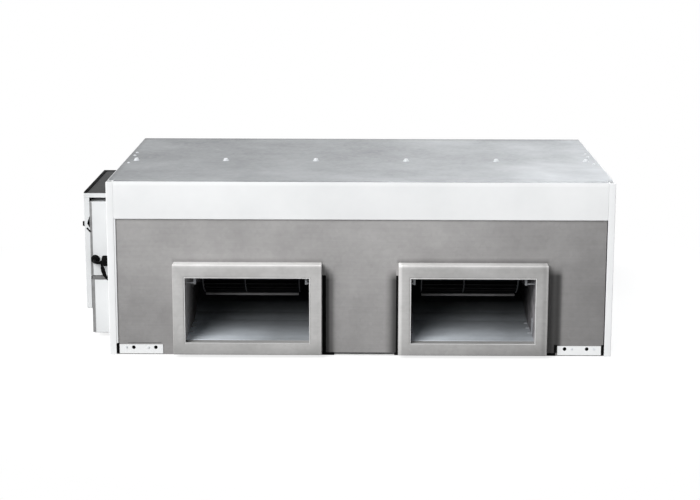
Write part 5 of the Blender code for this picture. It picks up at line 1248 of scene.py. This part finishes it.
# Painted shade: a grey plate draws the notch.
notch = bmesh.new()
outline = [(-0.8066, 0.372), (-0.8128, 0.355), (-0.8138, 0.349), (-0.8066, 0.336)]
face = notch.faces.new([notch.verts.new((x, LID_FRONT - 0.0004, z)) for x, z in outline])
bmesh.ops.solidify(notch, geom=[face], thickness=-0.0008)
bmesh.ops.recalc_face_normals(notch, faces=notch.faces)
put("lid_finger_notch", notch, SLIT_GREY, "electrical_lid", slot=BLACK.name)
keeper = bmesh.new()
bar = Matrix.Translation((-0.8100, LID_FRONT - 0.0008, 0.3300))
bar = bar @ Matrix.Rotation(math.radians(48), 4, "Y")
block_into(keeper, (-0.0080, -0.0010, -0.0024), (0.0080, 0.0010, 0.0024), 0.0008)
bmesh.ops.transform(keeper, matrix=bar, verts=keeper.verts)
put("lid_notch_keeper", keeper, RUBBER, "electrical_lid", slot=BLACK.name)

# Painted shadow: grey strips in the slit beside the lid and by the cover.
slits = [((-0.8066, -0.2412, 0.1900), (-0.8000, -0.2398, 0.4145), 0.0004)]
slits.append(((-0.8052, -0.2411, 0.0160), (-0.7968, -0.2390, 0.1785), 0.0004))
put_blocks("cover_slit_shadows", SLIT_GREY, slits, slot=RUBBER.name)
gap = ((-0.8030, -0.2412, 0.1785), (-0.7560, -0.2390, 0.1892), 0.0004)
put_blocks("cover_slot_shadow", SLOT_GREY, [gap], slot=RUBBER.name)

# %% [markdown]
# ## Inside the electrical box
# Behind the lid are the circuit board, the terminal block, the motor's run
# capacitor and a transformer. The board's parts stand where the solid has its
# blocks, but each is built as what it is: relays, a finned heat sink, a chip
# with legs and a row of screw terminals.

# %% Circuit board
BOARD_FACE = BACK_WALL - BOARD_GAP - BOARD_SHEET


def on_board(shape, along, up, wide, tall, proud, bevel=0.0006):
    """Add a block that stands on the board, given from the board's lower corner."""
    low = (BOARD_FACE - proud, BOARD_Y0 + along, BOARD_Z0 + up)
    high = (BOARD_FACE, BOARD_Y0 + along + wide, BOARD_Z0 + up + tall)
    block_into(shape, low, high, bevel)


BOARD_LOW = (BOARD_FACE, BOARD_Y0, BOARD_Z0)
BOARD_HIGH = (BOARD_FACE + BOARD_SHEET, BOARD_Y0 + BOARD_LONG, BOARD_Z0 + BOARD_TALL)
put_blocks("board_sheet", BOARD, [(BOARD_LOW, BOARD_HIGH, 0.0003)], stands_for=["circuit_board"])


def turned_on_board(shape, profile, along, up, steps, proud=0.0):
    """Add a turned part that stands on the board, or proud of it."""
    place = facing(BOARD_FACE - proud, BOARD_Y0 + along, BOARD_Z0 + up, "left")
    turned_into(shape, profile, place, steps)


dark = bmesh.new()
on_board(dark, 0.020, 0.068, 0.046, 0.018, 0.026, 0.001)
on_board(dark, 0.020, 0.090, 0.046, 0.018, 0.026, 0.001)
on_board(dark, 0.152, 0.066, 0.030, 0.046, 0.004)
on_board(dark, 0.118, 0.100, 0.016, 0.010, 0.003)
on_board(dark, 0.118, 0.118, 0.016, 0.010, 0.003)
CAN = [
    (0.0, 0.016), (0.0048, 0.016), (0.0056, 0.0152), (0.0056, 0.002), (0.0050, 0.0014),
    (0.0056, 0.0), (0.0, 0.0),
]
for i in range(3):
    turned_on_board(dark, CAN, 0.110 + 0.016 * i, 0.086, 16)
put("board_dark_parts", dark, BLACK)

pale = bmesh.new()
for along in (0.020, 0.092):
    on_board(pale, along, 0.020, 0.030, 0.024, 0.0175, 0.0008)
    for i in range(5):
        on_board(pale, along + 0.003 + 0.005 * i, 0.0195, 0.003, 0.006, 0.0185, 0.0003)
for i in range(8):
    on_board(pale, 0.0185 + 0.0198 * i, 0.140, 0.0186, 0.016, 0.0118, 0.0008)
put("board_sockets", pale, SOCKET_CREAM, slot=PLASTIC.name)

shiny = bmesh.new()
on_board(shiny, 0.080, 0.066, 0.018, 0.050, 0.004, 0.0004)
for i in range(6):
    on_board(shiny, 0.0803 + 0.0034 * i, 0.066, 0.0010, 0.050, 0.024, 0.0)
for i in range(10):
    on_board(shiny, 0.149, 0.068 + 0.0044 * i, 0.0034, 0.0012, 0.0012, 0.0)
    on_board(shiny, 0.1816, 0.068 + 0.0044 * i, 0.0034, 0.0012, 0.0012, 0.0)
SOCKET_HEAD = [(0.0, 0.0009), (0.0026, 0.0008), (0.0031, 0.0003), (0.0031, 0.0)]
CORNER_HEAD = [(0.0, 0.002), (0.003, 0.0018), (0.0038, 0.0)]
for i in range(8):
    turned_on_board(shiny, SOCKET_HEAD, 0.0278 + 0.0198 * i, 0.148, 12, 0.0118)
for along in (0.008, BOARD_LONG - 0.008):
    for up in (0.008, BOARD_TALL - 0.008):
        turned_on_board(shiny, CORNER_HEAD, along, up, 12)
        post = along_x(BOARD_FACE + 0.0068, BOARD_Y0 + along, BOARD_Z0 + up)
        prism_into(shiny, post, 0.0035, 0.0102)
put("board_metal_parts", shiny, ALUMINIUM)

# %% [markdown]
# ## Terminal block, capacitor and transformer
# Each way of the terminal block has two brass plates with a screw. The motor's
# run capacitor is a drawn can with a rolled seam, held by two straps. The
# transformer is a stack of thin plates round a copper winding, so it is built
# plate by plate, with every second one a little smaller, which draws the fine
# lines of the stack.

# %% Terminal block, capacitor and transformer
WAYS = 5
PLATE_X = BACK_WALL - 0.55 * 0.022
TERMINAL_HEAD = [(0.0, 0.0022), (0.0030, 0.0020), (0.0038, 0.0012), (0.0038, 0.0)]
metal = bmesh.new()
for i in range(WAYS):
    y = BLOCK_Y0 + (i + 0.5) * BLOCK_LONG / WAYS
    for share in (0.08, 0.56):
        z = BOARD_Z0 + share * BLOCK_TALL
        low = (PLATE_X - 0.0012, y - 0.0070, z + 0.0008)
        high = (PLATE_X, y + 0.0070, z + 0.0098)
        block_into(metal, low, high, 0.0003)
        turned_into(metal, TERMINAL_HEAD, facing(low[0], y, z + 0.0053, "left"), 14)
put("terminal_screws", metal, BRASS)

CAP_RADIUS, CAP_LONG = 0.0225, 0.095
cap_low, cap_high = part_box("run_capacitor")
CAP_CENTRE = (cap_low + cap_high) / 2
can = [
    (0.0, CAP_LONG / 2 - 0.002), (0.0150, CAP_LONG / 2 - 0.002), (0.0195, CAP_LONG / 2 - 0.0035),
    (0.0205, CAP_LONG / 2 - 0.0010), (0.0218, CAP_LONG / 2 - 0.0008),
    (CAP_RADIUS, CAP_LONG / 2 - 0.0030), (CAP_RADIUS, 0.036), (CAP_RADIUS - 0.0006, 0.0348),
    (CAP_RADIUS, 0.0336), (CAP_RADIUS, -CAP_LONG / 2 + 0.003),
    (CAP_RADIUS - 0.0025, -CAP_LONG / 2), (0.0, -CAP_LONG / 2),
]
body = bmesh.new()
turned_into(body, can, along_y(*CAP_CENTRE), 40)
put("capacitor_can", body, CAN_ALUMINIUM, "cabinet", ["run_capacitor"], slot=STEEL.name)
strap = bmesh.new()
inner, outer = CAP_RADIUS - 0.0002, CAP_RADIUS + 0.0008
BAND = [(inner, -0.005), (outer, -0.005), (outer, 0.005), (inner, 0.005), (inner, -0.005)]
for y in (-0.026, 0.020):
    turned_into(strap, BAND, along_y(CAP_CENTRE.x, CAP_CENTRE.y + y, CAP_CENTRE.z), 40)
cap_end = CAP_CENTRE + Vector((0, CAP_LONG / 2, 0))
for x in (-0.007, 0.007):
    tab_low = cap_end + Vector((x - 0.0032, -0.003, -0.0005))
    tab_high = cap_end + Vector((x + 0.0032, 0.006, 0.0005))
    block_into(strap, tab_low, tab_high, 0.0002)
put("capacitor_straps", strap, STEEL)

core_low, core_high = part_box("transformer")
CORE = (core_low + core_high) / 2
plates = bmesh.new()
half_y, half_z, stack, layers = 0.025, 0.020, 0.040, 18
for i in range(layers):
    x0 = BACK_WALL - stack + i * stack / layers
    shrink = 0.0004 if i % 2 else 0.0
    block_into(
        plates, (x0, CORE.y - half_y + shrink, CORE.z - half_z + shrink),
        (x0 + stack / layers, CORE.y + half_y - shrink, CORE.z + half_z - shrink),
    )
put("transformer_core", plates, CORE_STEEL, "cabinet", ["transformer"], slot=STEEL.name)
winding = bmesh.new()
WIRE_PITCH = 0.00225
for i in range(13):
    y = CORE.y + (i - 6) * WIRE_PITCH
    for up in (-1, 1):
        low, high = sorted((CORE.z + up * 0.0195, CORE.z + up * 0.0278))
        turn_low = (BACK_WALL - 0.034, y - 0.0009, low)
        turn_high = (BACK_WALL - 0.007, y + 0.0009, high)
        block_into(winding, turn_low, turn_high, 0.0004)
put("transformer_winding", winding, COPPER, slot=STEEL.name)

# %% [markdown]
# ## Pipe ends
# The two refrigerant pipes end in flare nuts. Brass nuts with a chamfered
# collar are fitted over the plain hexagons, and a black cap closes each pipe,
# as on a unit that hasn't been installed.

# %% Flare nuts
nuts = bmesh.new()
caps = bmesh.new()
for y, z, radius, share in ((0.250, 0.120, 0.0127, 1.7), (0.190, 0.215, 0.0064, 2.0)):
    across = share * radius + 0.0004
    prism_into(nuts, along_x(-0.7640, y, z), across, 0.0150)
    inner, outer = 0.80 * across, 0.84 * across
    ring = [(0.0, 0.0), (inner, 0.0), (outer, 0.0012), (outer, 0.0040), (0.0, 0.0040)]
    turned_into(nuts, ring, along_x(-0.7715, y, z) @ TURN_OVER, 32)
    inner, outer = 0.60 * across, 0.70 * across
    plug = [(0.0, 0.0030), (inner, 0.0030), (outer, 0.0020), (outer, 0.0), (0.0, 0.0)]
    turned_into(caps, plug, along_x(-0.7755, y, z) @ TURN_OVER, 24)
put("flare_nuts", nuts, BRASS, slot=COPPER.name)
put("flare_caps", caps, BLACK)

# %% [markdown]
# ## Return filters
# At the rear, two filters slide in rails. Each is a plastic frame with ribs and
# a net of fine threads. A net drawn as a picture would look flat from the side,
# so the threads are real strips, each a plain bar because there are hundreds.

# %% Filters
NET_PITCH = 0.0052
NET_THREAD = 0.0009
FILTER_RIM, FILTER_RIB, THIN_RIB = 0.012, 0.005, 0.0028
FILTER_FAR, FILTER_NEAR, TAB_END = 0.702, 0.0015, 0.716


def filter_frame(side):
    """A rim and ribs, then the tab."""
    low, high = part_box("left_filter" if side < 0 else "right_filter")
    x0, x1 = sorted((side * FILTER_FAR, side * FILTER_NEAR))
    y0, y1, z0, z1 = low.y, high.y, low.z, high.z
    shape = bmesh.new()
    for rim_low, rim_high in (
        ((x0, y0, z0), (x1, y1, z0 + FILTER_RIM)), ((x0, y0, z1 - FILTER_RIM), (x1, y1, z1)),
        ((x0, y0, z0 + 0.002), (x0 + FILTER_RIM, y1, z1 - 0.002)),
        ((x1 - FILTER_RIM, y0, z0 + 0.002), (x1, y1, z1 - 0.002)),
    ):
        block_into(shape, rim_low, rim_high, 0.0012)
    inset = FILTER_RIM / 2
    for i in range(1, 6):
        half = (THIN_RIB if i % 2 else FILTER_RIB) / 2
        x = x0 + FILTER_RIM + (x1 - x0 - 2 * FILTER_RIM) * i / 6
        z = z0 + FILTER_RIM + (z1 - z0 - 2 * FILTER_RIM) * i / 6
        upright = (x - half, y0 + 0.001, z0 + inset), (x + half, y1 - 0.001, z1 - inset)
        level_rib = (x0 + inset, y0 + 0.0014, z - half), (x1 - inset, y1 - 0.0014, z + half)
        block_into(shape, *upright, 0.0007)
        block_into(shape, *level_rib, 0.0007)
    middle, centre = (y0 + y1) / 2, (z0 + z1) / 2
    near, far = sorted((side * FILTER_FAR, side * TAB_END))
    tab = (near, middle - 0.002, centre - 0.030), (far, middle + 0.002, centre + 0.030)
    block_into(shape, *tab, 0.0015)
    near, far = sorted((side * (FILTER_FAR + 0.004), side * (TAB_END - 0.002)))
    for step in (-0.018, -0.009, 0.0, 0.009, 0.018):
        z = centre + step
        grip = (near, middle - 0.0027, z - 0.0015), (far, middle + 0.0027, z + 0.0015)
        block_into(shape, *grip, 0.0005)
    return shape, (x0, x1, y0, y1, z0, z1)


def filter_net(x0, x1, y0, y1, z0, z1):
    """Threads both ways across the frame."""
    net = bmesh.new()
    middle, half, reach = (y0 + y1) / 2, NET_THREAD / 2, FILTER_RIM - 0.002
    wide, tall = x1 - x0 - 2 * FILTER_RIM, z1 - z0 - 2 * FILTER_RIM
    columns, rows = int(wide / NET_PITCH), int(tall / NET_PITCH)
    for i in range(1, columns):
        x = x0 + FILTER_RIM + i * wide / columns
        thread = (x - half, middle - NET_THREAD, z0 + reach), (x + half, middle, z1 - reach)
        block_into(net, *thread)
    for i in range(1, rows):
        z = z0 + FILTER_RIM + i * tall / rows
        thread = (x0 + reach, middle - half, z - half), (x1 - reach, middle + half, z + half)
        block_into(net, *thread)
    return net


for word, side in (("left", -1), ("right", 1)):
    frame_shape, room = filter_frame(side)
    body = f"{word}_filter_slide"
    put(f"{word}_filter_frame", frame_shape, PLASTIC, body, [f"{word}_filter"])
    put(f"{word}_filter_net", filter_net(*room), BLACK, body)

# %% [markdown]
# ## Coil
# Behind the filters stands the coil: about three hundred thin aluminium fins on
# copper tubes. Each fin is a thin plate. All of them are set up straight along
# X, and then the whole pack leans over at once.

# %% Coil
COIL_RIGHT = 0.652
COIL_DEPTH, COIL_LENGTH = 0.066, 0.43996
FIN_PITCH, FIN_SHEET = 0.0042, 0.0009
TUBE_ROWS, TUBE_PITCH, TUBE_RADIUS = 2, 0.0254, 0.0048
COIL_PLACE = Matrix.Translation((0, COIL_Y, COIL_Z)) @ Matrix.Rotation(-COIL_TILT, 4, "X")

fins = bmesh.new()
pack_wide = COIL_RIGHT - COIL_LEFT - 0.004
count = int(pack_wide / FIN_PITCH)
for i in range(count + 1):
    x = COIL_LEFT + 0.002 + i * pack_wide / count
    block_into(
        fins, (x - FIN_SHEET / 2, -COIL_DEPTH / 2, -COIL_LENGTH / 2),
        (x + FIN_SHEET / 2, COIL_DEPTH / 2, COIL_LENGTH / 2),
    )
bmesh.ops.transform(fins, matrix=COIL_PLACE, verts=fins.verts)
put("coil_fins", fins, ALUMINIUM, "cabinet", ["coil_fin_pack"])

tubes = bmesh.new()
steps = int(COIL_LENGTH / TUBE_PITCH) - 1
for row in range(TUBE_ROWS):
    for i in range(steps):
        y = (row - 0.5) * 0.022
        z = (i - (steps - 1) / 2) * TUBE_PITCH + (row - 0.5) * TUBE_PITCH / 2
        place = along_x((COIL_LEFT + COIL_RIGHT) / 2, y, z)
        prism_into(tubes, place, TUBE_RADIUS, COIL_RIGHT - COIL_LEFT - 0.003, 12)
bmesh.ops.transform(tubes, matrix=COIL_PLACE, verts=tubes.verts)
put("coil_tubes", tubes, COPPER)

# %% [markdown]
# ## Floor
# The floor is plain and pale. The camera sees it a little brighter than it is,
# so that it meets the white background without an edge and still holds the
# shadow under the machine. Away from the machine it turns white by distance.

# %% Floor
FLOOR_SIZE, FLOOR_Z = 40.0, -0.0006
ground = bmesh.new()
bmesh.ops.create_grid(ground, x_segments=1, y_segments=1, size=FLOOR_SIZE / 2)
bmesh.ops.translate(ground, vec=(0, 0, FLOOR_Z), verts=ground.verts)
floor_mesh = bpy.data.meshes.new("studio_floor")
ground.to_mesh(floor_mesh)
ground.free()
floor = bpy.data.objects.new("studio_floor", floor_mesh)
bpy.context.scene.collection.objects.link(floor)

PAPER_GLOW = 0.78
CLEAR_FROM, CLEAR_TO = 0.95, 1.7

paper, tree, shader, where = start_finish("studio_paper", grey(0.33), 0.9)
gleam(0.0, paper)
apart = add_node(tree, "VectorMath", where, mode="LENGTH").outputs["Value"]
clear = add_node(tree, "MapRange", apart, From_Min=CLEAR_FROM, From_Max=CLEAR_TO)
clear.interpolation_type = "SMOOTHSTEP"
path = add_node(tree, "LightPath").outputs
seen = add_node(tree, "Math", path["Is Camera Ray"], path["Is Glossy Ray"], mode="MAXIMUM")
glow = add_node(tree, "Emission", Strength=PAPER_GLOW)
near = add_node(tree, "AddShader", shader.outputs[0], glow.outputs[0])
white = add_node(tree, "Emission")
spread = add_node(tree, "MixShader", clear.outputs["Result"], near.outputs[0], white.outputs[0])
choose = add_node(tree, "MixShader", seen.outputs[0], shader.outputs[0], spread.outputs[0])
tree.links.new(choose.outputs[0], tree.nodes["Material Output"].inputs["Surface"])
floor_mesh.materials.append(paper)
print("floor", FLOOR_SIZE, "m")

# %% [markdown]
# ## World
# The background is white to the camera, in reflections and through glass. For
# the light that falls on surfaces it is a weak cool fill, so that the shadows
# stay deep.

# %% World
world = bpy.data.worlds.new("studio")
bpy.context.scene.world = world
world.use_nodes = True
tree = world.node_tree
tree.nodes.clear()
fill = add_node(tree, "Background", Color=(0.93, 0.96, 1.0, 1.0), Strength=0.12)
white = add_node(tree, "Background", Color=(1, 1, 1, 1), Strength=1.0)
path = add_node(tree, "LightPath").outputs
first = add_node(tree, "Math", path["Is Camera Ray"], path["Is Glossy Ray"], mode="MAXIMUM")
second = add_node(tree, "Math", first.outputs[0], path["Is Transmission Ray"], mode="MAXIMUM")
choose = add_node(tree, "MixShader", second.outputs[0], fill.outputs[0], white.outputs[0])
add_node(tree, "OutputWorld", choose.outputs[0])
print("world nodes:", len(tree.nodes))

# %% [markdown]
# ## Lamps
# A wide sun at the front left does most of the work. Three soft lamps stand at
# the rear, the right and the left. Only the rear one shows in reflections: it
# gives the top sheet its sheen, while the others would blow it out to white
# when the machine is seen from the side.


# %% Lamps
def soft_lamp(name, place, target, width, height, watts, colour=(1.0, 1.0, 1.0), sheen=False):
    """A rectangular lamp at a place, turned to a target, with or without a sheen on metal."""
    light = bpy.data.lights.new(name, "AREA")
    light.shape = "RECTANGLE"
    light.size, light.size_y = width, height
    light.energy = watts
    light.color = colour
    made = bpy.data.objects.new(name, light)
    bpy.context.scene.collection.objects.link(made)
    made.visible_camera = False
    made.visible_glossy = sheen
    aim = (Vector(target) - Vector(place)).to_track_quat("-Z", "Y")
    made.matrix_world = Matrix.Translation(place) @ aim.to_matrix().to_4x4()


key = bpy.data.lights.new("key_lamp", "SUN")
key.energy = 3.53
key.angle = math.radians(38)
key_object = bpy.data.objects.new("key_lamp", key)
bpy.context.scene.collection.objects.link(key_object)
key_object.visible_glossy = False
key_from = Vector((-0.45, -0.72, 0.53))
key_object.matrix_world = key_from.to_track_quat("Z", "Y").to_matrix().to_4x4()
soft_lamp("rear_lamp", (1.2, 4.2, 3.4), (0.4, 0.2, 0.4), 2.2, 1.5, 60.0, (0.95, 0.98, 1.0), True)
soft_lamp("right_lamp", (4.6, 0.6, 1.2), (0.6, 0.0, 0.3), 2.0, 1.6, 110.0)
soft_lamp("left_lamp", (-4.6, 0.6, 0.9), (-0.6, 0.0, 0.3), 2.0, 1.6, 40.0)
print("lamps placed")
